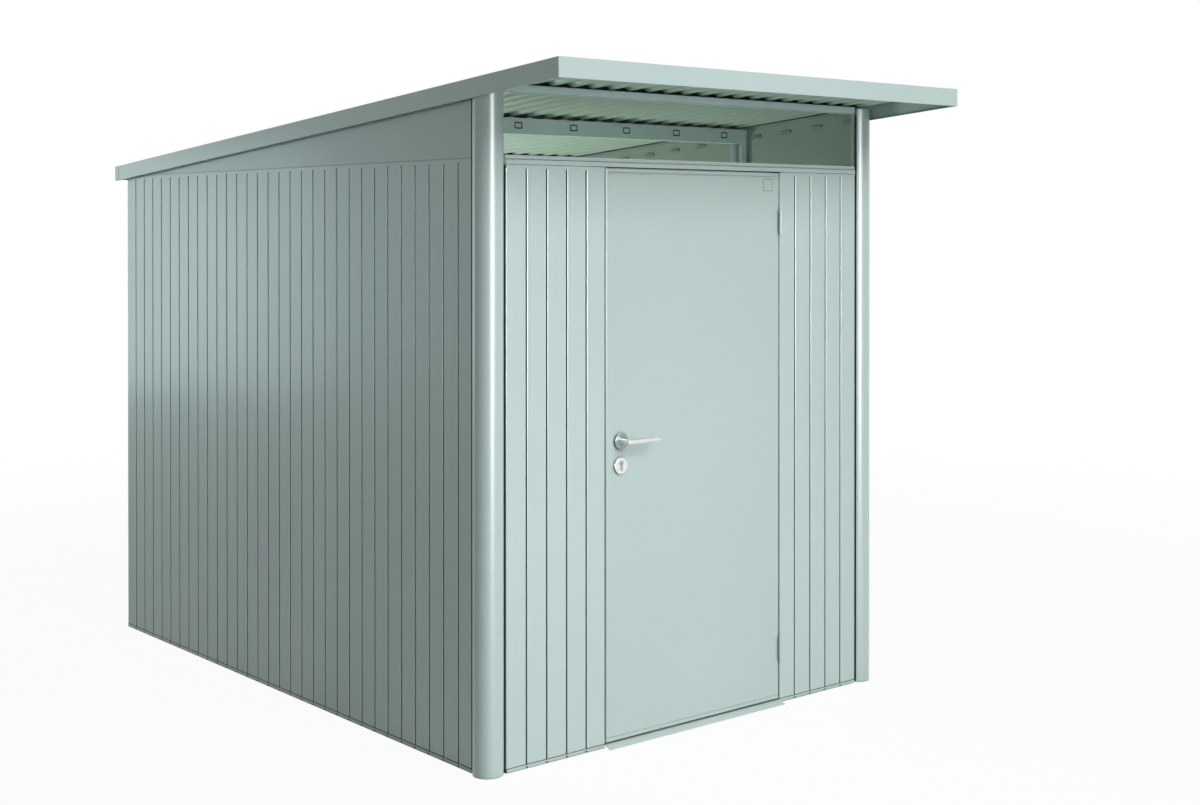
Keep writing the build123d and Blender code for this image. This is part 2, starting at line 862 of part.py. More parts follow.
def build():
    sheets = [side_sheet(index) for index in range(side_sheets)]
    panel = front_panel()
    post = corner_post()
    corner = rear_corner()
    jamb = door_jamb()
    gable = gable_panel()
    fascia = side_fascia()
    posts = [wall_post(rib) for rib in beam_ribs]
    rail = front_rail()
    roof = roof_sheets()
    nodes = {}
    for index, name in enumerate(("front", "middle", "rear")):
        nodes["wall_right_" + name] = sheets[index]
        nodes["wall_left_" + name] = mirrored(sheets[index])
    nodes["wall_rear_left"] = rear_sheet(1)
    nodes["wall_rear_right"] = rear_sheet(-1)
    nodes["front_panel_left"] = panel
    nodes["front_panel_right"] = mirrored(panel)
    nodes["base_rail_right"] = side_rail()
    nodes["base_rail_left"] = mirrored(side_rail())
    nodes["base_rail_rear"] = rear_rail()
    nodes["base_rail_front"] = [rail, mirrored(rail)]
    nodes["door_sill"] = door_sill()
    nodes["corner_post_left"] = post
    nodes["corner_post_right"] = mirrored(post)
    nodes["rear_corner_left"] = corner
    nodes["rear_corner_right"] = mirrored(corner)
    nodes["door_jamb_left"] = jamb
    nodes["door_jamb_right"] = mirrored(jamb)
    nodes["door_stops"] = list(door_stops())
    nodes["door_lintel"] = door_lintel()
    nodes["transom_beam"] = transom_beam()
    nodes["transom_pane"] = transom_pane()
    nodes["roof_beam_middle"] = roof_beam(beam_ribs[0])
    nodes["roof_beam_rear"] = roof_beam(beam_ribs[1])
    nodes["wall_posts_left"] = posts
    nodes["wall_posts_right"] = [mirrored(item) for item in posts]
    nodes["gable_left"] = gable
    nodes["gable_right"] = mirrored(gable)
    nodes["eave_rail_rear"] = eave_rail()
    nodes["roof_sheet_left"] = roof[0]
    nodes["roof_sheet_middle"] = roof[1]
    nodes["roof_sheet_right"] = roof[2]
    nodes["roof_fascia_front"] = wrapped_fascia(-roof_length / 2, 1, fascia_height)
    nodes["roof_fascia_rear"] = wrapped_fascia(roof_length / 2, -1, rear_fascia_height)
    nodes["roof_fascia_left"] = fascia
    nodes["roof_fascia_right"] = mirrored(fascia)
    nodes["hinges_fixed"] = [fixed_hinge(middle) for middle in hinge_middles]
    nodes["strike_plate"] = strike_plate()
    nodes["door_leaf"] = door_leaf()
    nodes["door_stiffeners"] = door_stiffeners()
    nodes["hinges_moving"] = [moving_hinge(middle) for middle in hinge_middles]
    nodes["lock_case"] = lock_case()
    nodes["lever_outside"] = lever_half(True)
    nodes["lever_inside"] = lever_half(False)
    return nodes


os.makedirs("parts", exist_ok=True)
for name, made in build().items():
    solids = made if isinstance(made, list) else [made]
    solids = [solid for item in solids for solid in item.solids()]
    whole = solids[0] if len(solids) == 1 else Compound(children=solids)
    export_step(whole, os.path.join("parts", name + ".step"))
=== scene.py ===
import math

import bmesh
import bpy
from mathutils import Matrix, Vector


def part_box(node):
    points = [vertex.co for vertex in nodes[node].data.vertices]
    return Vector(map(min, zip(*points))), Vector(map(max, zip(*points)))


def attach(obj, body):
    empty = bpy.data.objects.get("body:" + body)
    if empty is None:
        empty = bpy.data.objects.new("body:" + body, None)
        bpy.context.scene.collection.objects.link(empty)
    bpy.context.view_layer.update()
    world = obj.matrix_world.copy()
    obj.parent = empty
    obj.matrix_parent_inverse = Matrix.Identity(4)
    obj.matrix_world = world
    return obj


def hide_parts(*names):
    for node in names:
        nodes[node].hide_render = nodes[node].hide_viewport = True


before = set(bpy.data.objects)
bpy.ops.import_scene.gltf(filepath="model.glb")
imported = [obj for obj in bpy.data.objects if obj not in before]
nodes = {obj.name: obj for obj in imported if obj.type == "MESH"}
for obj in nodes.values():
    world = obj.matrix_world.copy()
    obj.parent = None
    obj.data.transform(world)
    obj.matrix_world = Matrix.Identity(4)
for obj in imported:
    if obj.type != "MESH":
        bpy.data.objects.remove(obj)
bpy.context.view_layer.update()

mm = 0.001


# Small helpers for node trees
def fillInputs(tree, node, inputs):
    # A socket is linked, a plain value is set on the node itself
    for name, value in inputs.items():
        if isinstance(value, bpy.types.NodeSocket):
            tree.links.new(value, node.inputs[name])
        else:
            node.inputs[name].default_value = value


def addNode(tree, kind, settings=None, inputs=None):
    node = tree.nodes.new("ShaderNode" + kind)
    for name, value in (settings or {}).items():
        setattr(node, name, value)
    fillInputs(tree, node, inputs or {})
    return node


def startGroup(name, inputs, outputs):
    # inputs are name: default value, outputs are name: socket type
    group = bpy.data.node_groups.new(name, "ShaderNodeTree")
    for label, value in inputs.items():
        kind = "Float" if isinstance(value, float) else {3: "Vector", 4: "Color"}[len(value)]
        group.interface.new_socket(label, in_out="INPUT", socket_type="NodeSocket" + kind).default_value = value
    for label, kind in outputs.items():
        group.interface.new_socket(label, in_out="OUTPUT", socket_type="NodeSocket" + kind)
    start = group.nodes.new("NodeGroupInput")
    end = group.nodes.new("NodeGroupOutput")
    return group, start.outputs, end


def placeGroup(tree, group, inputs):
    return addNode(tree, "Group", {"node_tree": group}, inputs).outputs


def mathNode(tree, operation, first, second=0.0, third=0.0, clamp=False):
    settings = {"operation": operation, "use_clamp": clamp}
    return addNode(tree, "Math", settings, {0: first, 1: second, 2: third}).outputs[0]


def vectorNode(tree, operation, inputs):
    node = addNode(tree, "VectorMath", {"operation": operation}, inputs)
    return node.outputs["Value" if operation in ("DOT_PRODUCT", "LENGTH") else "Vector"]


def mixColors(tree, factor, first, second):
    # 6, 7 and 2 are the colour sockets of a mix node
    return addNode(tree, "Mix", {"data_type": "RGBA"}, {0: factor, 6: first, 7: second}).outputs[2]


def objectPlace(tree):
    return addNode(tree, "TexCoord").outputs["Object"]


def noiseNode(tree, place, scale, detail):
    inputs = {"Vector": place, "Scale": scale, "Detail": detail}
    return addNode(tree, "TexNoise", {}, inputs).outputs["Fac"]


def mixSurface(tree, factor, first, second):
    inputs = {0: factor, 1: first.outputs[0], 2: second.outputs[0]}
    mixed = addNode(tree, "MixShader", {}, inputs)
    tree.links.new(mixed.outputs[0], tree.nodes["Material Output"].inputs["Surface"])


def startMaterial(name):
    material = bpy.data.materials.new(name)
    material.use_nodes = True
    tree = material.node_tree
    return material, tree, tree.nodes["Principled BSDF"]


# Effects that several finishes share
def makeCoatGroup():
    # Sprayed coat: slow clouds in the colour, metal flakes and a faint orange peel, and painted shade that darkens
    # the colour in grooves, creases and corners
    group, given, end = startGroup(
        "sprayedCoat",
        {
            "Color": (0.5, 0.5, 0.5, 1),
            "Cloud Amount": 0.05,
            "Cloud Scale": 1.5,
            "Flake Amount": 0.05,
            "Flake Scale": 900.0,
            "Roughness": 0.4,
            "Rough Spread": 0.08,
            "Peel Height": 0.0001,
            "Corner Radius": 0.001,
            "Recess Shade": 0.0,
            "Recess Shade Reach": 0.014,
        },
        {"Color": "Color", "Roughness": "Float", "Normal": "Vector"},
    )
    place = objectPlace(group)
    cloud = mathNode(group, "SUBTRACT", noiseNode(group, place, given["Cloud Scale"], 4.0), 0.5)
    flake = mathNode(group, "SUBTRACT", noiseNode(group, place, given["Flake Scale"], 1.0), 0.5)
    cloudShift = mathNode(group, "MULTIPLY", cloud, given["Cloud Amount"])
    flakeShift = mathNode(group, "MULTIPLY", flake, given["Flake Amount"])
    # Painted shade: the colour darkens where nearby surfaces hem it in
    reach = {"Distance": given["Recess Shade Reach"]}
    hollow = addNode(group, "AmbientOcclusion", {"samples": 6}, reach).outputs["AO"]
    shade = mathNode(group, "MULTIPLY", mathNode(group, "SUBTRACT", 1.0, hollow), given["Recess Shade"])
    level = mathNode(group, "ADD", mathNode(group, "ADD", cloudShift, flakeShift), 1.0)
    level = mathNode(group, "MULTIPLY", level, mathNode(group, "SUBTRACT", 1.0, shade, clamp=True))
    peel = noiseNode(group, place, 260.0, 2.0)
    rounded = addNode(group, "Bevel", {"samples": 4}, {"Radius": given["Corner Radius"]}).outputs[0]
    relief = {"Height": peel, "Distance": given["Peel Height"], "Normal": rounded}
    results = {
        "Color": vectorNode(group, "SCALE", {0: given["Color"], "Scale": level}),
        "Roughness": mathNode(group, "MULTIPLY_ADD", cloud, given["Rough Spread"], given["Roughness"]),
        "Normal": addNode(group, "Bump", {}, relief).outputs[0],
    }
    fillInputs(group, end, results)
    return group


def makeEdgeGroup():
    # A mask that is 1 along outer corners, broken up by noise, where a coat is thin or rubbed and where a lighter
    # colour paints the highlight that corners catch
    group, given, end = startGroup(
        "cornerWearAndSheen",
        {"Radius": 0.002, "Gain": 2.0, "Break Scale": 40.0},
        {"Mask": "Float"},
    )
    rounded = addNode(group, "Bevel", {"samples": 4}, {"Radius": given["Radius"]}).outputs[0]
    flat = addNode(group, "NewGeometry").outputs["Normal"]
    turned = mathNode(group, "SUBTRACT", 1.0, vectorNode(group, "DOT_PRODUCT", {0: rounded, 1: flat}))
    noise = noiseNode(group, objectPlace(group), given["Break Scale"], 3.0)
    broken = mathNode(group, "MULTIPLY_ADD", noise, 0.8, 0.6)
    mask = mathNode(group, "MULTIPLY", mathNode(group, "MULTIPLY", turned, given["Gain"]), broken, clamp=True)
    fillInputs(group, end, {"Mask": mask})
    return group


def makeGrimeGroup():
    # A mask that fades upwards from the ground, for splashes and dust on the lowest edge
    group, given, end = startGroup(
        "groundDust",
        {"Height": 0.15, "Amount": 0.3, "Scale": 18.0},
        {"Mask": "Float"},
    )
    place = objectPlace(group)
    level = addNode(group, "SeparateXYZ", {}, {"Vector": place}).outputs["Z"]
    fade = mathNode(group, "SUBTRACT", 1.0, mathNode(group, "DIVIDE", level, given["Height"]), clamp=True)
    noise = noiseNode(group, place, given["Scale"], 5.0)
    mask = mathNode(group, "MULTIPLY", mathNode(group, "MULTIPLY", fade, noise), given["Amount"], clamp=True)
    fillInputs(group, end, {"Mask": mask})
    return group


def makeGrainGroup():
    # Fine brushed lines that run along one axis
    group, given, end = startGroup(
        "brushedGrain",
        {
            "Along": (900.0, 900.0, 30.0),
            "Height": 0.00002,
            "Roughness": 0.25,
            "Rough Spread": 0.12,
        },
        {"Roughness": "Float", "Normal": "Vector", "Tone": "Float"},
    )
    stretched = vectorNode(group, "MULTIPLY", {0: objectPlace(group), 1: given["Along"]})
    lines = noiseNode(group, stretched, 1.0, 3.0)
    shift = mathNode(group, "SUBTRACT", lines, 0.5)
    relief = {"Height": lines, "Distance": given["Height"]}
    results = {
        "Roughness": mathNode(group, "MULTIPLY_ADD", shift, given["Rough Spread"], given["Roughness"]),
        "Normal": addNode(group, "Bump", {}, relief).outputs[0],
        "Tone": mathNode(group, "MULTIPLY_ADD", lines, 0.2, 0.9),
    }
    fillInputs(group, end, results)
    return group


coatGroup = makeCoatGroup()
edgeGroup = makeEdgeGroup()
grimeGroup = makeGrimeGroup()
grainGroup = makeGrainGroup()
print("shader groups ready")


# Finishes; corner and reach are in millimetres
coatLook = {
    "outer": (0.455, 0.55, 0.537, 1),
    "back": (0.40, 0.52, 0.43, 1),
    "wornAndLit": (0.66, 0.76, 0.74, 1),
    "dust": (0.44, 0.45, 0.41, 1),
    "peel": 0.00006,
    "flake": 0.1,
    "roughSpread": 0.12,
    "wornRadius": 0.0022,
    "dustFade": {"Height": 0.12, "Amount": 0.25},
}
usualCoat = {
    "tone": 1.0,
    "rough": 0.4,
    "cloud": 0.1,
    "edge": 0.5,
    "gloss": 0.25,
    "glossRough": 0.16,
    "metal": 0.12,
    "corner": 1.5,
    "recessShade": 2.0,
    "reach": 8.0,
    "specular": 0.25,
    "backTone": 1.0,
    "backBy": None,
}
# What each coat changes of the usual one
coatFinishes = {
    "wallCoat": {"backBy": "side"},
    # The gables' inner side is toned darker than the back coat, painted shade inside the shed
    "gableCoat": {
        "tone": 0.98, "gloss": 0.2, "corner": 2.0, "recessShade": 0.8, "reach": 9.0, "specular": 0.2,
        "backTone": 0.7, "backBy": "side",
    },
    "rearCoat": {"backBy": "end"},
    "frontCoat": {"tone": 1.01, "cloud": 0.08, "recessShade": 1.6, "backBy": "end"},
    "doorCoat": {
        "tone": 0.95, "rough": 0.36, "cloud": 0.06, "edge": 0.6, "gloss": 0.4,
        "corner": 3.0, "recessShade": 0.6, "reach": 12.0, "specular": 0.3,
    },
    # Lips take a lighter copy of the paint as a painted highlight, with more gloss and metal so the lamps catch
    # them too
    "lipHighlightCoat": {
        "tone": 1.05, "rough": 0.3, "cloud": 0.04, "edge": 0.1, "gloss": 0.9, "glossRough": 0.12,
        "metal": 0.45, "corner": 0.5, "recessShade": 0.2, "reach": 5.0, "specular": 0.4,
    },
    "postCoat": {
        "tone": 0.97, "rough": 0.34, "cloud": 0.0, "edge": 0.2, "gloss": 0.5, "glossRough": 0.3,
        "metal": 0.1, "corner": 1.6, "recessShade": 0.5, "reach": 12.0,
    },
    # Trim is toned a little lighter than the paint, painted light for the lintel in the shade of the overhang
    "trimCoat": {
        "tone": 1.03, "cloud": 0.08, "edge": 0.8, "gloss": 0.3,
        "corner": 2.0, "recessShade": 0.8, "reach": 12.0,
    },
    # Beams are toned far lighter than the paint, painted light for their faces in the roof's shade
    "beamLitCoat": {
        "tone": 1.36, "rough": 0.44, "cloud": 0.12, "edge": 0.6, "gloss": 0.05,
        "corner": 1.6, "recessShade": 0.6, "reach": 14.0, "specular": 0.12,
    },
    "plateCoat": {
        "tone": 0.66, "cloud": 0.06, "edge": 0.2, "gloss": 0.1,
        "corner": 0.6, "recessShade": 1.2, "reach": 5.0, "specular": 0.2,
    },
    "roofCoat": {
        "rough": 0.46, "cloud": 0.12, "edge": 0.3, "gloss": 0.0,
        "corner": 1.6, "reach": 40.0, "specular": 0.04, "backBy": "under",
    },
}


def backMask(tree, kind):
    # 1 on the side of a sheet that faces into the shed
    facing = addNode(tree, "NewGeometry").outputs["Normal"]
    if kind == "under":
        height = addNode(tree, "SeparateXYZ", {}, {"Vector": facing}).outputs["Z"]
        return mathNode(tree, "LESS_THAN", height, -0.05)
    keep = (1.0, 0.0, 0.0) if kind == "side" else (0.0, 1.0, 0.0)
    spread = vectorNode(tree, "MULTIPLY", {0: objectPlace(tree), 1: keep})
    outward = vectorNode(tree, "DOT_PRODUCT", {0: spread, 1: facing})
    return mathNode(tree, "LESS_THAN", outward, -0.35)


def toned(color, tone):
    return tuple(part * tone for part in color[:3]) + (1,)


def makeCoat(name, changes):
    look = {**usualCoat, **changes}
    material, tree, shader = startMaterial(name)
    color = toned(coatLook["outer"], look["tone"])
    if look["backBy"]:
        back = toned(coatLook["back"], look["backTone"])
        color = mixColors(tree, backMask(tree, look["backBy"]), color, back)
    coatInputs = {
        "Color": color,
        "Cloud Amount": look["cloud"],
        "Roughness": look["rough"],
        "Rough Spread": coatLook["roughSpread"],
        "Flake Amount": coatLook["flake"],
        "Peel Height": coatLook["peel"],
        "Corner Radius": look["corner"] * mm,
        "Recess Shade": look["recessShade"],
        "Recess Shade Reach": look["reach"] * mm,
    }
    coat = placeGroup(tree, coatGroup, coatInputs)
    wornAndLit = placeGroup(tree, edgeGroup, {"Radius": coatLook["wornRadius"], "Gain": look["edge"]})["Mask"]
    dust = placeGroup(tree, grimeGroup, coatLook["dustFade"])["Mask"]
    # Outer corners turn towards a lighter copy of the paint: rubbed coat and painted highlight
    lifted = mixColors(tree, wornAndLit, coat["Color"], coatLook["wornAndLit"])
    surface = {
        "Base Color": mixColors(tree, dust, lifted, coatLook["dust"]),
        "Normal": coat["Normal"],
        "Coat Normal": coat["Normal"],
        "Roughness": coat["Roughness"],
        "Metallic": look["metal"],
        "Specular IOR Level": look["specular"],
        "Coat Weight": look["gloss"],
        "Coat Roughness": look["glossRough"],
    }
    fillInputs(tree, shader, surface)
    return material


metalLook = {
    "roughSpread": 0.1,
    "grain": 0.000008,
    "wear": {"Radius": 0.001, "Gain": 1.2, "Break Scale": 120.0},
    "wornTone": 1.2,
}
metalFinishes = {
    "stainlessSatin": {"color": (0.72, 0.74, 0.73), "rough": 0.28, "along": (60.0, 1200.0, 1200.0)},
    # The rose is a far darker copy of the same stainless as the rosette, painted shade
    "roseShadeTurned": {"color": (0.29, 0.34, 0.33), "rough": 0.34, "along": (1100.0, 60.0, 1100.0)},
    "rosetteTurned": {"color": (0.78, 0.80, 0.79), "rough": 0.26, "along": (1100.0, 60.0, 1100.0)},
    # The rim finish is darker again, painted shade on the outer wall of the rose and rosette
    "rimShadeTurned": {"color": (0.20, 0.23, 0.225), "rough": 0.4, "along": (1100.0, 60.0, 1100.0)},
    # The nickel is darker than its own colour, painted shade on the cylinder's end sunk in the rosette
    "nickelShadeSatin": {"color": (0.42, 0.43, 0.41), "rough": 0.38, "along": (900.0, 100.0, 900.0)},
    "zincPlate": {"color": (0.58, 0.60, 0.60), "rough": 0.42, "along": (300.0, 300.0, 60.0)},
    "screwSteel": {"color": (0.55, 0.58, 0.57), "rough": 0.35, "along": (700.0, 700.0, 700.0)},
}


def makeMetal(name, look):
    material, tree, shader = startMaterial(name)
    grainInputs = {
        "Along": look["along"],
        "Roughness": look["rough"],
        "Rough Spread": metalLook["roughSpread"],
        "Height": metalLook["grain"],
    }
    grain = placeGroup(tree, grainGroup, grainInputs)
    wornAndLit = placeGroup(tree, edgeGroup, metalLook["wear"])["Mask"]
    brushed = vectorNode(tree, "SCALE", {0: look["color"], "Scale": grain["Tone"]})
    surface = {
        "Base Color": mixColors(tree, wornAndLit, brushed, toned(look["color"], metalLook["wornTone"])),
        "Roughness": grain["Roughness"],
        "Normal": grain["Normal"],
        "Metallic": 1.0,
    }
    fillInputs(tree, shader, surface)
    return material


darkLook = {"color": (0.02, 0.025, 0.025, 1), "rough": 0.7, "cloud": 0.3, "specular": 0.03}


def makeDark():
    # Near-black painted shade for the shadowed inside of keyholes and punched outlines, and for the shade in the
    # rail joints, the post joints and the roof's crest gaps
    material, tree, shader = startMaterial("nearBlackShade")
    coatInputs = {"Color": darkLook["color"], "Cloud Amount": darkLook["cloud"], "Roughness": darkLook["rough"]}
    coat = placeGroup(tree, coatGroup, coatInputs)
    surface = {
        "Base Color": coat["Color"],
        "Roughness": coat["Roughness"],
        "Specular IOR Level": darkLook["specular"],
    }
    fillInputs(tree, shader, surface)
    return material


paneLook = {
    "color": (0.98, 0.995, 0.985, 1),
    "cloud": (0.85, 0.9, 0.88, 1),
    "cloudShare": 0.04,
    "ior": 1.12,
    "rough": 0.0,
    "haze": 0.01,
}


def makePane():
    # Clear acrylic that lets lamplight through to the inside
    material, tree, shader = startMaterial("clearAcrylic")
    haze = noiseNode(tree, objectPlace(tree), 6.0, 4.0)
    clouded = mathNode(tree, "MULTIPLY", haze, paneLook["cloudShare"])
    surface = {
        "Roughness": mathNode(tree, "MULTIPLY_ADD", haze, paneLook["haze"], paneLook["rough"]),
        "Base Color": mixColors(tree, clouded, paneLook["color"], paneLook["cloud"]),
        "Transmission Weight": 1.0,
        "IOR": paneLook["ior"],
    }
    fillInputs(tree, shader, surface)
    ray = addNode(tree, "LightPath").outputs
    clear = addNode(tree, "BsdfTransparent", {}, {"Color": paneLook["color"]})
    mixSurface(tree, mathNode(tree, "MAXIMUM", ray["Is Shadow Ray"], ray["Is Diffuse Ray"]), shader, clear)
    return material


materials = {name: makeCoat(name, changes) for name, changes in coatFinishes.items()}
materials.update({name: makeMetal(name, look) for name, look in metalFinishes.items()})
materials["nearBlackShade"] = makeDark()
materials["clearAcrylic"] = makePane()
print("finishes ready:", len(materials))


# Which parts carried over from the solids take each finish, by the start of their names
partFinishes = {
    "wallCoat": ("wall_left", "wall_right"),
    "rearCoat": ("wall_rear", "eave_rail"),
    "frontCoat": ("front_panel",),
    "gableCoat": ("gable",),
    "doorCoat": ("door_leaf", "door_stiffeners"),
    "postCoat": ("corner_post", "hinges"),
    "trimCoat": ("base_rail", "door_sill", "rear_corner", "door_jamb", "door_stops", "door_lintel", "roof_fascia"),
    "beamLitCoat": ("wall_posts", "transom_beam", "roof_beam"),
    "roofCoat": ("roof_sheet",),
    "clearAcrylic": ("transom_pane",),
    "zincPlate": ("strike_plate", "lock_case"),
    "stainlessSatin": ("lever",),
}


def dressParts():
    for name, part in nodes.items():
        finish = next(finish for finish, starts in partFinishes.items() if name.startswith(starts))
        part.data.materials.clear()
        part.data.materials.append(materials[finish])


dressParts()
print("carried-over parts dressed:", len(nodes))


# Making pieces
def addObject(name, data):
    made = bpy.data.objects.new(name, data)
    bpy.context.scene.collection.objects.link(made)
    return made


def shadeRim(mesh, centre, axis, radius):
    # Marks the faces of a turned piece's outer wall for the second finish, a darker copy that paints shade on the
    # rim
    axis = Vector(axis)
    for face in mesh.faces:
        away = face.calc_center_median() - centre
        spoke = (away - axis * away.dot(axis)).length
        outside = spoke > radius * 0.97
        if outside and abs(face.normal.dot(axis)) < 0.6:
            face.material_index = 1


def makePiece(name, mesh, material, body="shed", smoothAngle=35, second=None):
    data = bpy.data.meshes.new(name)
    bmesh.ops.recalc_face_normals(mesh, faces=mesh.faces)
    mesh.to_mesh(data)
    mesh.free()
    piece = addObject(name, data)
    data.materials.append(materials[material])
    if second:
        data.materials.append(materials[second])
    data.shade_smooth()
    data.set_sharp_from_angle(angle=math.radians(smoothAngle))
    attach(piece, body)
    return piece


def addRings(mesh, rings, closeStart=True, closeEnd=True):
    # A skin through rings of the same number of points
    made = [[mesh.verts.new(point) for point in ring] for ring in rings]
    for low, high in zip(made, made[1:]):
        for index in range(len(low)):
            after = (index + 1) % len(low)
            mesh.faces.new((low[index], low[after], high[after], high[index]))
    if closeStart:
        mesh.faces.new(made[0][::-1])
    if closeEnd:
        mesh.faces.new(made[-1])


def ringMesh(rings, closeStart=True, closeEnd=True):
    mesh = bmesh.new()
    addRings(mesh, rings, closeStart, closeEnd)
    return mesh


def roundSteps(steps):
    # Cosine and sine of evenly spaced angles once round
    angles = [2 * math.pi * step / steps for step in range(steps)]
    return [(math.cos(angle), math.sin(angle)) for angle in angles]


def turnedRings(profile, centre, axis, steps=96):
    # Rings about an axis through centre, from (radius, distance along the axis) pairs
    axis = Vector(axis).normalized()
    across = axis.orthogonal().normalized()
    other = axis.cross(across)
    spokes = [across * cos + other * sin for cos, sin in roundSteps(steps)]
    return [[Vector(centre) + axis * along + spoke * radius for spoke in spokes] for radius, along in profile]


def roundedRectangle(width, height, radius, steps=6):
    points = []
    for signX, signY, start in ((1, 1, 0), (-1, 1, 90), (-1, -1, 180), (1, -1, 270)):
        cornerX, cornerY = signX * (width / 2 - radius), signY * (height / 2 - radius)
        for step in range(steps + 1):
            angle = math.radians(start + 90 * step / steps)
            points.append((cornerX + radius * math.cos(angle), cornerY + radius * math.sin(angle)))
    return points


def framedRings(centre, size, corner, sections, draw=0.5):
    # Rounded rectangles that face the front, from (inset, y) pairs; draw tightens the inner corners
    x, z = centre
    width, height = size
    rings = []
    for inset, y in sections:
        outline = roundedRectangle(width - 2 * inset, height - 2 * inset, corner - inset * draw)
        rings.append([(x + u, y, z + w) for u, w in outline])
    return rings


# Camera, at the photograph's place and angle
cameraPlace = {
    "location": (-3.8738, -5.2287, 1.682),
    "down": 0.3443,
    "turn": 40.03,
    "lens": 50.257,
    "shiftX": -0.0015,
    "shiftY": -0.1389,
}


def addCamera():
    data = bpy.data.cameras.new("viewCamera")
    data.sensor_width = 36.0
    data.lens = cameraPlace["lens"]
    data.shift_x = cameraPlace["shiftX"]
    data.shift_y = cameraPlace["shiftY"]
    data.clip_end = 400.0
    camera = addObject("viewCamera", data)
    camera.location = cameraPlace["location"]
    camera.rotation_euler = (math.radians(90 - cameraPlace["down"]), 0, math.radians(-cameraPlace["turn"]))
    bpy.context.scene.camera = camera


addCamera()
print("camera placed")


# Lever set: the outside and inside levers, their roses, the key rosettes and the cylinders' ends
leverSet = {
    "x": -339 * mm,
    "leverZ": 984.5 * mm,
    "keyZ": 904.5 * mm,
    "roseRadius": 27 * mm,
    "roseThickness": 9 * mm,
    "rosetteThickness": 7 * mm,
    "rimEase": 1.5 * mm,
    "boreGap": 0.5 * mm,
    "collarRise": 0.6 * mm,
    "collarWidth": (2.2 * mm, 1.6 * mm),
    "neckRadius": 9.5 * mm,
    "neckLength": 55 * mm,
    "armLength": 135 * mm,
    "armRoot": (15 * mm, 17 * mm),
    "armTip": (8 * mm, 11 * mm),
}
keyHole = {
    "barrel": 8.5 * mm,
    "foot": 5 * mm,
    "high": 8 * mm,
    "low": -11.5 * mm,
    "clear": 0.9 * mm,
    "openingDepth": 4.5 * mm,
    "endDepth": 2.2 * mm,
    "slot": (1.7 * mm, 8.4 * mm),
}
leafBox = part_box("door_leaf")
leafFront = leafBox[0].y
leafBack = leafBox[1].y
doorSides = {-1: "outside", 1: "inside"}


def onLeaf(side, height):
    # Where the lever's or the key's axis meets the leaf, side -1 for the outside
    return Vector((leverSet["x"], leafFront if side < 0 else leafBack, leverSet[height]))


def leverRings(side):
    # Sections from the neck round the mitred corner to the arm's tip
    root = onLeaf(side, "leverZ")
    out, along, up = Vector((0, side, 0)), Vector((1, 0, 0)), Vector((0, 0, 1))
    radius = leverSet["neckRadius"]
    halfDepth = leverSet["armRoot"][0] / 2
    reach = leverSet["neckLength"] - halfDepth
    turn = roundSteps(48)
    rings = []
    for distance in (leverSet["roseThickness"] - leverSet["rimEase"], reach * 0.6, reach - radius * 0.9):
        rings.append([root + out * distance + along * radius * cos + up * radius * sin for cos, sin in turn])
    mitre = []
    for cos, sin in turn:
        mitre.append(root + out * (reach - cos * halfDepth) + along * radius * cos + up * radius * 0.98 * sin)
    rings.append(mitre)
    for share in (0.12, 0.3, 0.6, 0.9, 0.97, 1.0):
        rings.append(armRing(root + out * reach, out, along, up, share, turn))
    return rings


def armRing(corner, out, along, up, share, turn):
    # A flattened, rounded section of the arm; the last ones draw in to round the tip
    depth = leverSet["armRoot"][0] * (1 - share) + leverSet["armTip"][0] * share
    height = leverSet["armRoot"][1] * (1 - share) + leverSet["armTip"][1] * share
    drawIn = 1.0 if share < 0.95 else (0.93 if share < 0.99 else 0.72)
    distance = leverSet["armLength"] * share
    ring = []
    for cos, sin in turn:
        squareX = math.copysign(abs(cos) ** 0.75, cos)
        squareY = math.copysign(abs(sin) ** 0.75, sin)
        offset = -out * squareX * depth / 2 * drawIn
        ring.append(corner + along * distance + offset + up * squareY * height / 2 * drawIn)
    return ring


def addBevel(piece, width, segments):
    bevel = piece.modifiers.new("softEdges", "BEVEL")
    bevel.width = width
    bevel.segments = segments
    return bevel


def makeLever(side):
    mesh = ringMesh(leverRings(side))
    name = doorSides[side]
    piece = makePiece("lever_bar_" + name, mesh, "stainlessSatin", "lever", 50)
    addBevel(piece, 0.6 * mm, 3).angle_limit = math.radians(50)
    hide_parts("lever_" + name)


def easedRim(thick):
    # The outer wall of a rose or rosette and the eased corner onto its face
    outer, ease = leverSet["roseRadius"], leverSet["rimEase"]
    profile = [(outer, 0), (outer, thick - ease)]
    for step in range(1, 7):
        angle = math.radians(15 * step)
        profile.append((outer - ease + ease * math.cos(angle), thick - ease + ease * math.sin(angle)))
    return profile


def makeRose(side):
    # A turned rose with an eased rim and a bored collar for the neck
    centre = onLeaf(side, "leverZ")
    thick, rise = leverSet["roseThickness"], leverSet["collarRise"]
    bore = leverSet["neckRadius"] + leverSet["boreGap"]
    profile = [(bore, 0)] + easedRim(thick)
    foot, top = leverSet["collarWidth"]
    profile += [(bore + foot, thick), (bore + top, thick + rise), (bore, thick + rise), (bore, 0)]
    mesh = ringMesh(turnedRings(profile, centre, (0, side, 0)), False, False)
    bmesh.ops.remove_doubles(mesh, verts=mesh.verts, dist=1e-6)
    mesh.normal_update()
    shadeRim(mesh, centre, (0, side, 0), leverSet["roseRadius"])
    name = "lever_rose_" + doorSides[side]
    piece = makePiece(name, mesh, "roseShadeTurned", "door", 35, "rimShadeTurned")
    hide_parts("lock_case")


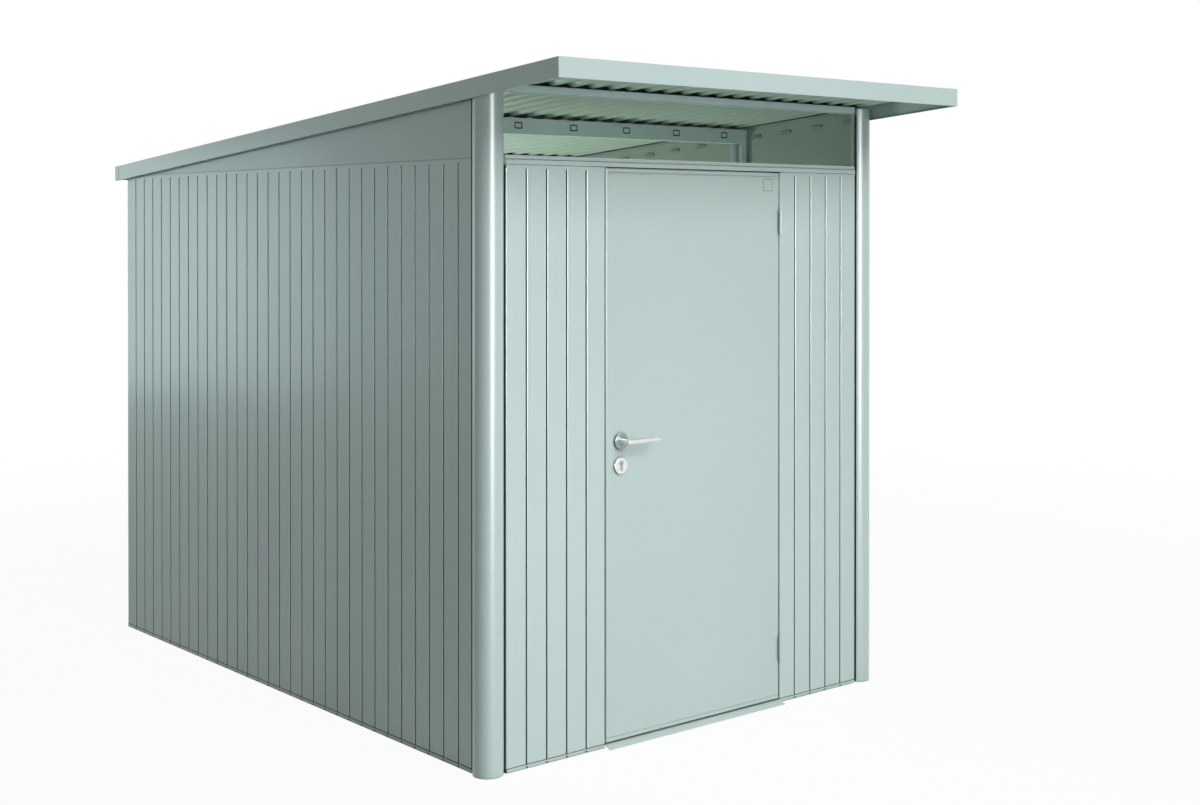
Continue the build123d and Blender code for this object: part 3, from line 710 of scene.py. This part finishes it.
def profileOutline(grow=0.0):
    # The outline of a profile cylinder, round above and narrow below, about the rosette's centre
    barrel = keyHole["barrel"] + grow
    foot = keyHole["foot"] + grow
    waist = math.asin(foot / barrel)
    points = []
    for step in range(33):
        angle = -math.pi / 2 + waist + (2 * math.pi - 2 * waist) * step / 32
        points.append((barrel * math.cos(angle), keyHole["high"] + barrel * math.sin(angle)))
    for step in range(17):
        angle = math.pi + math.pi * step / 16
        points.append((foot * math.cos(angle), keyHole["low"] + foot * math.sin(angle)))
    return points


def makeRosette(side):
    # A rosette with an eased rim and a profile opening cut through it
    thick = leverSet["rosetteThickness"]
    centre = onLeaf(side, "keyZ")
    mesh = ringMesh(turnedRings(easedRim(thick), centre, (0, side, 0)), True, False)
    rim = [edge for edge in mesh.edges if edge.is_boundary]
    opening = profileOutline(keyHole["clear"])
    top, low = (
        [mesh.verts.new(centre + Vector((x, side * depth, z))) for x, z in opening]
        for depth in (thick, thick - keyHole["openingDepth"])
    )
    pairs = [(index, (index + 1) % len(top)) for index in range(len(top))]
    edges = [mesh.edges.new((top[index], top[after])) for index, after in pairs]
    bmesh.ops.triangle_fill(mesh, edges=rim + edges, use_beauty=True)
    for index, after in pairs:
        mesh.faces.new((top[index], top[after], low[after], low[index]))
    mesh.faces.new(low)
    mesh.normal_update()
    shadeRim(mesh, centre, (0, side, 0), leverSet["roseRadius"])
    name = "key_rosette_" + doorSides[side]
    piece = makePiece(name, mesh, "rosetteTurned", "door", 35, "rimShadeTurned")
    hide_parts("lock_case")


def makeKeyFace(side):
    # The profile cylinder's end inside the rosette, with its round plug and key slot
    thick = leverSet["rosetteThickness"] - keyHole["endDepth"]
    centre = onLeaf(side, "keyZ")
    depths = (1 * mm, thick)
    mesh = ringMesh([[centre + Vector((x, side * depth, z)) for x, z in profileOutline()] for depth in depths])
    name = doorSides[side]
    piece = makePiece("key_cylinder_" + name, mesh, "nickelShadeSatin", "door")
    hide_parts("lock_case")
    plugCentre = centre + Vector((0, side * thick, keyHole["high"]))
    plug = [(6.6 * mm, -0.5 * mm), (6.6 * mm, 0.3 * mm), (6.2 * mm, 0.6 * mm), (0.4 * mm, 0.6 * mm)]
    mesh = ringMesh(turnedRings(plug, plugCentre, (0, side, 0), 48))
    makePiece("key_plug_" + name, mesh, "nickelShadeSatin", "door")
    # The key slot is a near-black piece that paints the shade inside it
    slot = roundedRectangle(*keyHole["slot"], 0.6 * mm)
    depths = (0.2 * mm, 0.68 * mm)
    mesh = ringMesh([[plugCentre + Vector((x, side * depth, z)) for x, z in slot] for depth in depths])
    makePiece("key_slot_shade_" + name, mesh, "nearBlackShade", "door")


for side in (-1, 1):
    makeLever(side)
    makeRose(side)
    makeRosette(side)
    makeKeyFace(side)
print("lever set ready")


# Plain square plate at the door's top right corner
plate = {
    "centre": (343.5 * mm, 1824.4 * mm),
    "size": (46 * mm, 42 * mm),
    "thick": 0.8 * mm,
    "corner": 2.5 * mm,
    "rim": 3.2 * mm,
    "ease": 0.3 * mm,
}


def plateRings(steps):
    # From (inset, share of the thickness) pairs
    sections = [(inset, leafFront - plate["thick"] * out) for inset, out in steps]
    return framedRings(plate["centre"], plate["size"], plate["corner"], sections)


def makePlate():
    # A flat plate with a darker pressed rim
    rim, ease = plate["rim"], plate["ease"]
    field = ((rim - ease, 0), (rim - ease, 0.7), (rim, 0.9), (rim + 0.2 * mm, 0.9))
    mesh = ringMesh(plateRings(field), False, True)
    makePiece("door_plate", mesh, "doorCoat", "door")
    border = ((0, 0), (0, 0.7), (ease, 1.0), (rim - 2 * ease, 1.0), (rim, 0.5), (rim, 0))
    mesh = ringMesh(plateRings(border), False, False)
    makePiece("door_plate_rim", mesh, "plateCoat", "door")


makePlate()


# Screws and rivets
screwLook = {"pan": (4.2 * mm, 1.9 * mm), "rivet": (2.6 * mm, 1.1 * mm), "hex": (5.2 * mm, 3.4 * mm)}


def addDome(mesh, centre, axis, radius, height):
    # A domed head that sits on a surface
    profile = [(radius, 0)]
    for step in range(1, 6):
        angle = math.radians(90 * step / 6)
        profile.append((radius * math.cos(angle), height * math.sin(angle)))
    addRings(mesh, turnedRings(profile, centre, axis, 24), False, True)


def addHexScrew(mesh, centre, axis):
    # A hexagon head on a round washer
    radius, height = screwLook["hex"]
    washer = [(radius * 1.5, 0), (radius * 1.5, 0.8 * mm), (radius * 1.3, 1.2 * mm)]
    addRings(mesh, turnedRings(washer, centre, axis, 24), False, True)
    head = [(radius, 1.1 * mm), (radius, height), (radius * 0.86, height + 0.5 * mm)]
    addRings(mesh, turnedRings(head, centre, axis, 6), False, True)


def makeScrews(name, places, kind):
    mesh = bmesh.new()
    for centre, axis in places:
        if kind == "hex":
            addHexScrew(mesh, centre, axis)
        else:
            addDome(mesh, centre, axis, *screwLook[kind])
    makePiece(name, mesh, "screwSteel")


shedSides = {-1: "left", 1: "right"}
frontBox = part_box("roof_fascia_front")
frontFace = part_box("front_panel_left")[0].y
roofFall = 234.5 / 3000  # drop over length
roofFront = frontBox[0].y
roofTop = frontBox[1].z
fasciaScrewLook = {"fromEnd": 15 * mm, "drop": 28.3 * mm}
rivetPlaces = ((-492.5 * mm, 1862 * mm), (-492.5 * mm, 647 * mm))
postBolts = {"x": 855 * mm, "drop": 26 * mm, "flange": 1.5 * mm}
roofBeams = ("roof_beam_middle", "roof_beam_rear")


def roofHeight(y):
    # Height of the roof's top line
    return roofTop - (y - roofFront) * roofFall


def fasciaScrews():
    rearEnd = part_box("roof_fascia_rear")[1].y
    places = []
    for y in (roofFront + fasciaScrewLook["fromEnd"], rearEnd - fasciaScrewLook["fromEnd"]):
        for side in (-1, 1):
            x = side * (frontBox[1].x - screwLook["pan"][1])
            places.append(((x, y, roofHeight(y) - fasciaScrewLook["drop"]), (side, 0, 0)))
    return places


def postBoltPlaces():
    # On the front flange of each wall post, just under the beam's top
    places = []
    for beam in roofBeams:
        low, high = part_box(beam)
        for side in (-1, 1):
            place = (side * postBolts["x"], low.y - postBolts["flange"], high.z - postBolts["drop"])
            places.append((place, (0, -1, 0)))
    return places


makeScrews("fascia_screws", fasciaScrews(), "pan")
makeScrews("post_bolts", postBoltPlaces(), "pan")
rivets = [((x, frontFace, z), (0, -1, 0)) for x, z in rivetPlaces]
makeScrews("panel_rivets", rivets, "rivet")
print("screws ready")


# The lock's case behind the leaf's skin
lockCase = {
    "width": 98 * mm,
    "height": 210 * mm,
    "corner": 4 * mm,
    "fromEdge": 2.8 * mm,
    "clear": 0.9 * mm,
    "step": 3 * mm,
    "cover": 1.6 * mm,
    "ease": 0.8 * mm,
    "screwInset": 10 * mm,
    "screwHead": (3.4 * mm, 0.6 * mm),
}


def makeCase():
    # A pressed box with a stepped cover
    width, height = lockCase["width"], lockCase["height"]
    x = leafBox[0].x + lockCase["fromEdge"] + width / 2
    z = (leverSet["leverZ"] + leverSet["keyZ"]) / 2
    front = leafFront + lockCase["clear"]
    back = leafBack - lockCase["clear"]
    rim = back - lockCase["cover"]
    step, ease = lockCase["step"], lockCase["ease"]
    sections = [(1 * mm, front), (0, front + 1 * mm), (0, rim - ease), (ease, rim)]
    sections += [(step, rim), (step + 0.5 * mm, back - 0.4 * mm), (step + 1 * mm, back)]
    mesh = ringMesh(framedRings((x, z), (width, height), lockCase["corner"], sections, 0))
    piece = makePiece("lock_case_body", mesh, "zincPlate", "door")
    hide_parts("lock_case")
    mesh = bmesh.new()
    radius, sink = lockCase["screwHead"]
    inset = lockCase["screwInset"]
    for side in (-1, 1):
        for end in (-1, 1):
            place = (x + side * (width / 2 - inset), back - sink, z + end * (height / 2 - inset))
            addDome(mesh, place, (0, 1, 0), radius, sink + lockCase["clear"] * 0.9)
    makePiece("lock_case_screws", mesh, "screwSteel", "door")


makeCase()
print("lock case ready")


# Where the grooves of the sheets lie along the walls
grooves = {"pitch": 80 * mm, "firstSide": 144.6 * mm, "sideCount": 30, "half": 4.5 * mm}
firstGroove = frontFace + grooves["firstSide"]
sideGrooves = [firstGroove + index * grooves["pitch"] for index in range(grooves["sideCount"])]
rearGrooves = [index * grooves["pitch"] for index in range(-10, 11)]
frontGrooves = [index * grooves["pitch"] for index in (6, 7, 8, 9)]

# Base rails with a drain slot in the foot under every groove, and a near-black strip along their top edge that
# paints the shade in the joint
rail = {
    "height": 12 * mm,
    "skin": 1.2 * mm,
    "depth": 40 * mm,
    "innerHeight": 25 * mm,
    "slot": 8.5 * mm,
    "slotFoot": 2 * mm,
    "slotHead": 7 * mm,
    "joint": 1.8 * mm,
    "jointProud": 0.5 * mm,
    "doorway": 404.5 * mm,
}


def addBox(mesh, low, high, place):
    # A plain bar between two corners, moved to its place in the shed
    corners = [(low[0], low[1]), (high[0], low[1]), (high[0], high[1]), (low[0], high[1])]
    addRings(mesh, [[place(x, y, z) for x, y in corners] for z in (low[2], high[2])])


def addRail(mesh, start, end, slots, place):
    # Outer leg cut by the slots, floor leg and inner leg; along, inward and up
    skin, foot, head = rail["skin"], rail["slotFoot"], rail["slotHead"]
    addBox(mesh, (start, -skin, 0), (end, 0, foot), place)
    addBox(mesh, (start, -skin, head), (end, 0, rail["height"]), place)
    half = rail["slot"] / 2
    edges = [start] + [edge for slot in slots for edge in (slot - half, slot + half)] + [end]
    for low, high in zip(edges[::2], edges[1::2]):
        addBox(mesh, (low, -skin, foot), (high, 0, head), place)
    addBox(mesh, (start, 0, 0), (end, rail["depth"] - skin, skin), place)
    addBox(mesh, (start, rail["depth"] - skin, 0), (end, rail["depth"], rail["innerHeight"]), place)


def railPlace(name):
    # How along, inward and up lie in the shed for one rail
    low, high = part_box(name)
    skin = rail["skin"]
    if name == "base_rail_left":
        return lambda along, inward, up: (low.x + skin + inward, along, up), low.y, high.y
    if name == "base_rail_right":
        return lambda along, inward, up: (high.x - skin - inward, along, up), low.y, high.y
    if name == "base_rail_rear":
        return lambda along, inward, up: (along, high.y - skin - inward, up), low.x, high.x
    return lambda along, inward, up: (along, low.y + skin + inward, up), low.x, high.x


def makeRails():
    top = rail["height"]
    for name in ("base_rail_left", "base_rail_right", "base_rail_rear", "base_rail_front"):
        place, start, end = railPlace(name)
        runs = [(start, end, rearGrooves if name == "base_rail_rear" else sideGrooves)]
        if name == "base_rail_front":
            mirrored = [-groove for groove in frontGrooves[::-1]]
            runs = [(start, -rail["doorway"], mirrored), (rail["doorway"], end, frontGrooves)]
        mesh = bmesh.new()
        jointShadeMesh = bmesh.new()
        for low, high, slots in runs:
            addRail(mesh, low, high, slots, place)
            # The near-black strip along the top edge paints the shade in the joint
            addBox(jointShadeMesh, (low, -rail["jointProud"], top), (high, 0, top + rail["joint"]), place)
        piece = makePiece(name.replace("base_rail", "slotted_rail"), mesh, "trimCoat")
        addBevel(piece, 0.3 * mm, 2)
        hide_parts(name)
        makePiece(name.replace("base_rail", "rail_joint_shade"), jointShadeMesh, "nearBlackShade")


makeRails()


# Rounded lips of the bent sheets, beside every groove and along the edges at the joints, in a lighter copy of the
# paint that paints a highlight along them
lip = {
    "radius": 1.9 * mm,
    "sideRadius": 1.1 * mm,
    "gapRadius": 1.5 * mm,
    "jambRadius": 0.7 * mm,
    "steps": 6,
    "tuck": 0.3 * mm,
    "skin": 0.02 * mm,
    "foot": 14 * mm,
    "sideHead": 1876 * mm,
    "frontHead": 1858 * mm,
}


def addLip(mesh, edge, turn, radius, foot, head, place):
    # A quarter round that starts flush with the face and turns into the groove on the side turn
    outline = []
    for step in range(lip["steps"] + 1):
        angle = math.radians(90 * step / lip["steps"])
        outline.append((edge + turn * radius * math.sin(angle), radius * (1 - math.cos(angle))))
    tuck = edge - turn * lip["tuck"]
    outline += [(tuck, radius), (tuck, lip["skin"])]
    addRings(mesh, [[place(x, depth, z) for x, depth in outline] for z in (foot, head)])


def grooveEdges(places, radius):
    # Both edges of every groove, which way each one turns and how round it is
    edges = []
    for place in places:
        edges += [(place - grooves["half"], 1, radius), (place + grooves["half"], -1, radius)]
    return edges


def makeLipRow(name, body, edges, foot, head, place):
    mesh = bmesh.new()
    for edge, turn, radius in edges:
        addLip(mesh, edge, turn, radius, foot, head, place)
    makePiece(name, mesh, "lipHighlightCoat", body, smoothAngle=60)


def makeSideLips(side):
    # Along one side wall and the front panel beside it
    name = shedSides[side]
    low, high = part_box("wall_" + name + "_front")
    face = low.x if side < 0 else high.x
    toWall = lambda along, depth, up: (face - side * depth, along, up)
    edges = grooveEdges(sideGrooves, lip["sideRadius"])
    makeLipRow("wall_lips_" + name, "shed", edges, lip["foot"], lip["sideHead"], toWall)
    low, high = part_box("front_panel_right")
    toFront = lambda along, depth, up: (side * along, frontFace + depth, up)
    edges = grooveEdges(frontGrooves, lip["radius"])
    edges += [(high.x, 1, lip["radius"]), (low.x, -1, lip["jambRadius"])]
    makeLipRow("panel_lips_" + name, "shed", edges, lip["foot"], lip["frontHead"], toFront)


def makeRearLips():
    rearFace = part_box("wall_rear_left")[1].y
    toRear = lambda along, depth, up: (along, rearFace - depth, up)
    edges = grooveEdges(rearGrooves, lip["radius"])
    makeLipRow("wall_lips_rear", "shed", edges, lip["foot"], lip["sideHead"], toRear)


def makeDoorLips():
    low, high = leafBox
    toDoor = lambda along, depth, up: (along, leafFront + depth, up)
    edges = [(low.x, -1, lip["gapRadius"]), (high.x, 1, lip["gapRadius"])]
    makeLipRow("door_lips", "door", edges, low.z + 1 * mm, high.z - 1 * mm, toDoor)


for side in (-1, 1):
    makeSideLips(side)
makeRearLips()
makeDoorLips()
print("lips ready")


# Near-black strips in the joints between each corner post and its wall and front panel, painted shade in the gaps
# there
postShade = {
    "frontStart": -808 * mm,
    "frontWidth": 8.5 * mm,
    "frontSink": 1.5 * mm,
    "frontHead": 1868 * mm,
    "sideStart": -1049.5 * mm,
    "sideEnd": -1038 * mm,
    "sideFace": -879.6 * mm,
    "sideLean": 2.6 * mm,
    "sideHead": 2095 * mm,
    "thick": 5 * mm,
    "foot": 3 * mm,
}


def makePostShades(side):
    mesh = bmesh.new()
    start, thick, foot = postShade["frontStart"], postShade["thick"], postShade["foot"]
    near = frontFace + postShade["frontSink"]
    far = (start + postShade["frontWidth"], near + thick, postShade["frontHead"])
    addBox(mesh, (start, near, foot), far, lambda across, y, up: (-side * across, y, up))
    face, start, end = postShade["sideFace"], postShade["sideStart"], postShade["sideEnd"]
    outline = [(face, start), (face + postShade["sideLean"], end), (face + thick, end), (face + thick, start)]
    addRings(mesh, [[(-side * x, y, z) for x, y in outline] for z in (foot, postShade["sideHead"])])
    makePiece("post_joint_shade_" + shedSides[side], mesh, "nearBlackShade")


for side in (-1, 1):
    makePostShades(side)
print("base rails and seals ready")


# Punched outlines in the beams' front faces, as near-black bands that paint the shade in the punched slits
punch = {
    "xs": (-268.6, -14.7, 240.3, 494.0, 749.5),
    "rise": 26 * mm,
    "size": (35 * mm, 24 * mm),
    "corner": 5 * mm,
    "line": 4.4 * mm,
    "proud": 0.12 * mm,
}


def makePunchedOutlines(beam):
    low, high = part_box(beam)
    out, line = low.y - punch["proud"], punch["line"]
    sections = [(0, low.y), (0, out), (line, out), (line, low.y)]
    mesh = bmesh.new()
    for x in punch["xs"]:
        centre = (x * mm, high.z - punch["rise"])
        addRings(mesh, framedRings(centre, punch["size"], punch["corner"], sections), False, False)
    makePiece("punched_outline_shade_" + beam, mesh, "nearBlackShade")


for beam in roofBeams:
    makePunchedOutlines(beam)


# Hoods of the stamped louvres, on the inner side of both gables
louvre = {
    "first": 100 * mm,
    "pitch": 160 * mm,
    "count": 14,
    "drop": 55 * mm,
    "length": 62 * mm,
    "height": 11 * mm,
    "depth": 6.5 * mm,
    "sheet": 0.8 * mm,
    "steps": 12,
}


def hoodRings(centre, inward, slope):
    # Sections along one hood, deepest in the middle and closing towards both ends
    rings = []
    for step in range(louvre["steps"] + 1):
        share = 2 * step / louvre["steps"] - 1
        bulge = max(0.06, (1 - share**4) ** 0.5)
        outline = []
        for grow in (0.0, louvre["sheet"]):
            arc = []
            for turn in range(7):
                angle = math.radians(15 * turn)
                out = (louvre["depth"] * bulge + grow) * math.sin(angle)
                up = (louvre["height"] * bulge + grow) * math.cos(angle)
                arc.append((out, up))
            outline += arc if grow == 0 else arc[::-1]
        y = centre.y + share * louvre["length"] / 2
        base = centre.z - (y - centre.y) * slope - louvre["height"] * 0.35
        rings.append([(centre.x + inward * out, y, base + up) for out, up in outline])
    return rings


def makeLouvres(side):
    name = shedSides[side]
    low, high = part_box("gable_" + name)
    x = low.x + louvre["sheet"] if side < 0 else high.x - louvre["sheet"]
    mesh = bmesh.new()
    for index in range(louvre["count"]):
        y = frontFace + louvre["first"] + index * louvre["pitch"]
        addRings(mesh, hoodRings(Vector((x, y, roofHeight(y) - louvre["drop"])), -side, roofFall))
    makePiece("louvre_hoods_" + name, mesh, "gableCoat")


for side in (-1, 1):
    makeLouvres(side)
print("louvres and punched outlines ready")


# Corrugated roof sheets with smooth waves: first and last half wave, and how much the sheet is lifted
waves = {
    "pitch": 80 * mm,
    "height": 13 * mm,
    "start": -35 * mm,
    "skin": 0.8 * mm,
    "valleyDrop": 15 * mm,
    "steps": 10,
    "sheets": {
        "roof_sheet_left": (-21, -7, 0.0),
        "roof_sheet_middle": (-8, 9, 1.1 * mm),
        "roof_sheet_right": (8, 23, 0.0),
    },
}


def waveArc(index):
    # Radius and tilt of the arcs along the middle of the sheet, and where one half wave has its middle
    rise = waves["height"] - waves["skin"]
    radius = ((waves["pitch"] / 2) ** 2 + rise**2) / (4 * rise)
    middle = waves["start"] + (index + 0.5) * waves["pitch"] / 2
    return radius, math.asin(waves["pitch"] / 4 / radius), middle


def waveLevel(y):
    # Height of the waves' middle line
    return roofHeight(y) - waves["valleyDrop"] + waves["height"] / 2


def waveStations(first, last):
    # Points along the middle of the sheet, with the way that faces up from each
    stations = []
    for index in range(first, last):
        sign = 1 if index % 2 == 0 else -1
        radius, tilt, middle = waveArc(index)
        for step in range(waves["steps"] + (index == last - 1)):
            angle = tilt * (2 * step / waves["steps"] - 1)
            up = sign * radius * (math.cos(angle) - math.cos(tilt))
            stations.append((middle + radius * math.sin(angle), up, sign * math.sin(angle), math.cos(angle)))
    return stations


def makeWaves(name, first, last, lift):
    low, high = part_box(name)
    half = waves["skin"] / 2
    base = waveLevel(low.y) + lift
    fall = (high.y - low.y) * roofFall
    rings = []
    for across, up, leanX, leanZ in waveStations(first, last):
        topX, topZ = across + leanX * half, base + up + leanZ * half
        underX, underZ = across - leanX * half, base + up - leanZ * half
        top = [(topX, low.y, topZ), (topX, high.y, topZ - fall)]
        rings.append(top + [(underX, high.y, underZ - fall), (underX, low.y, underZ)])
    mesh = ringMesh(rings)
    piece = makePiece(name.replace("roof_sheet", "roof_waves"), mesh, "roofCoat", smoothAngle=40)
    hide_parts(name)


for name, (first, last, lift) in waves["sheets"].items():
    makeWaves(name, first, last, lift)

# Foam that closes the waves above each beam, near-black to paint the shade in the crest gaps
foam = {"inset": 6 * mm, "depth": 10 * mm, "clear": 0.4 * mm, "thinnest": 0.05 * mm, "first": -20, "last": 22}


def foamOutline(index):
    # Under one crest, from valley to valley
    radius, tilt, middle = waveArc(index)
    half = waves["pitch"] / 2
    points = []
    for step in range(25):
        share = 2 * step / 24 - 1
        across = share * half
        if abs(share) <= 0.5:
            up = math.sqrt(radius**2 - across**2) - radius * math.cos(tilt)
        else:
            up = radius * math.cos(tilt) - math.sqrt(radius**2 - (abs(across) - half) ** 2)
        points.append((middle + across, up))
    return points


def makeFoam(beam):
    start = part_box(beam)[0].y + foam["inset"]
    end = start + foam["depth"]
    lower = -waves["height"] / 2 + waves["skin"] / 2 - foam["clear"]
    mesh = bmesh.new()
    for index in range(foam["first"], foam["last"], 2):
        rings = []
        for across, up in foamOutline(index):
            upper = max(up - waves["skin"] - foam["clear"], lower + foam["thinnest"])
            corners = ((start, lower), (end, lower), (end, upper), (start, upper))
            rings.append([(across, y, waveLevel(y) + rise) for y, rise in corners])
        addRings(mesh, rings)
    makePiece("foam_closure_" + beam, mesh, "nearBlackShade")


roofSupports = ("transom_beam",) + roofBeams
for beam in roofSupports:
    makeFoam(beam)

# Roof screws on every second crest, over the beams and the eave
roofScrewLook = {"every": 2, "first": -10, "last": 11, "crest": -15 * mm, "sink": 2 * mm, "middleHalf": 340 * mm}


def roofScrewPlaces():
    places = []
    for beam in roofSupports + ("eave_rail_rear",):
        low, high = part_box(beam)
        y = (low.y + high.y) / 2
        for index in range(roofScrewLook["first"], roofScrewLook["last"], roofScrewLook["every"]):
            x = roofScrewLook["crest"] + index * waves["pitch"]
            sheet = "roof_sheet_middle" if abs(x) < roofScrewLook["middleHalf"] else "roof_sheet_left"
            z = roofHeight(y) - roofScrewLook["sink"] + waves["sheets"][sheet][2]
            places.append(((x, y, z), (0, roofFall, 1)))
    return places


makeScrews("roof_screws", roofScrewPlaces(), "hex")
print("roof waves ready")


# Studio
studio = {
    "floor": (0.46, 0.51, 0.497, 1),
    "floorRough": 0.9,
    "floorLift": 0.95,
    "floorHalf": 120.0,
    "floorDrop": 0.5 * mm,
    "fadeStart": 3.0,
    "fadeEnd": 7.0,
    "worldColor": (0.78, 1.0, 0.96, 1),
    "worldLight": 0.12,
}
white = (1, 1, 1)
wholeSpread = 180.0
# Lamp sizes are in metres, spread in degrees
lamps = {
    "keyLamp": {"place": (1.2, -8.6, 6.8), "aim": (0, -0.5, 1.0), "size": (4.5, 4.5), "power": 730.0},
    "fillLamp": {
        "place": (-0.6, -4.2, 1.5), "aim": (-0.3, -1.1, 0.1), "size": (1.4, 1.4), "power": 8.5,
        "spread": 80.0,
    },
    "stripLamp": {
        "place": (-1.5, -9.5, 1.4), "aim": (-0.8, -1.1, 1.0), "size": (2.0, 2.6), "power": 460.0,
        "glossOnly": True,
    },
    "rearLamp": {
        "place": (-2.9, 4.8, 1.4), "aim": (-0.9, 1.2, 1.0), "size": (1.6, 1.6), "power": 24.0,
        "color": (0.79, 1.0, 0.98),
    },
    "insideLamp": {"place": (-0.5, 0.55, 0.8), "aim": (0.4, 0.5, 2.0), "size": (0.5, 0.5), "power": 20.0},
}


def seenRays(tree):
    # 1 for what is seen straight, in gloss or through the pane, 0 for what only lights the shed
    ray = addNode(tree, "LightPath").outputs
    seen = mathNode(tree, "MAXIMUM", ray["Is Camera Ray"], ray["Is Glossy Ray"])
    return mathNode(tree, "MAXIMUM", seen, ray["Is Transmission Ray"])


def addFloor():
    mesh = bmesh.new()
    bmesh.ops.create_grid(mesh, x_segments=2, y_segments=2, size=studio["floorHalf"])
    data = bpy.data.meshes.new("studio_floor")
    mesh.to_mesh(data)
    mesh.free()
    floor = addObject("studio_floor", data)
    floor.location.z = -studio["floorDrop"]
    material, tree, shader = startMaterial("paleFloor")
    fillInputs(tree, shader, {"Base Color": studio["floor"], "Roughness": studio["floorRough"]})
    glow = addNode(tree, "Emission", {}, {"Color": (*white, 1), "Strength": 1.0})
    fadeInputs = {
        "Value": vectorNode(tree, "LENGTH", {0: objectPlace(tree)}),
        "From Min": studio["fadeStart"],
        "From Max": studio["fadeEnd"],
        "To Min": studio["floorLift"],
    }
    fade = addNode(tree, "MapRange", {}, fadeInputs).outputs["Result"]
    mixSurface(tree, mathNode(tree, "MULTIPLY", seenRays(tree), fade), shader, glow)
    data.materials.append(material)


def addWorld():
    world = bpy.data.worlds.new("studioWorld")
    bpy.context.scene.world = world
    world.use_nodes = True
    tree = world.node_tree
    seen = seenRays(tree)
    light = studio["worldLight"]
    sky = {
        "Color": mixColors(tree, seen, studio["worldColor"], (*white, 1)),
        "Strength": mathNode(tree, "MULTIPLY_ADD", seen, 1.0 - light, light),
    }
    fillInputs(tree, tree.nodes["Background"], sky)


def addLamp(name, look):
    data = bpy.data.lights.new(name, "AREA")
    data.shape = "RECTANGLE"
    data.size, data.size_y = look["size"]
    data.energy = look["power"]
    data.color = look.get("color", white)
    data.spread = math.radians(look.get("spread", wholeSpread))
    lamp = addObject(name, data)
    lamp.location = look["place"]
    lamp.rotation_euler = (Vector(look["aim"]) - lamp.location).to_track_quat("-Z", "Y").to_euler()
    lamp.visible_diffuse = not look.get("glossOnly", False)


addFloor()
addWorld()
for name, look in lamps.items():
    addLamp(name, look)
bpy.context.scene.view_settings.view_transform = "Standard"
print("studio ready")
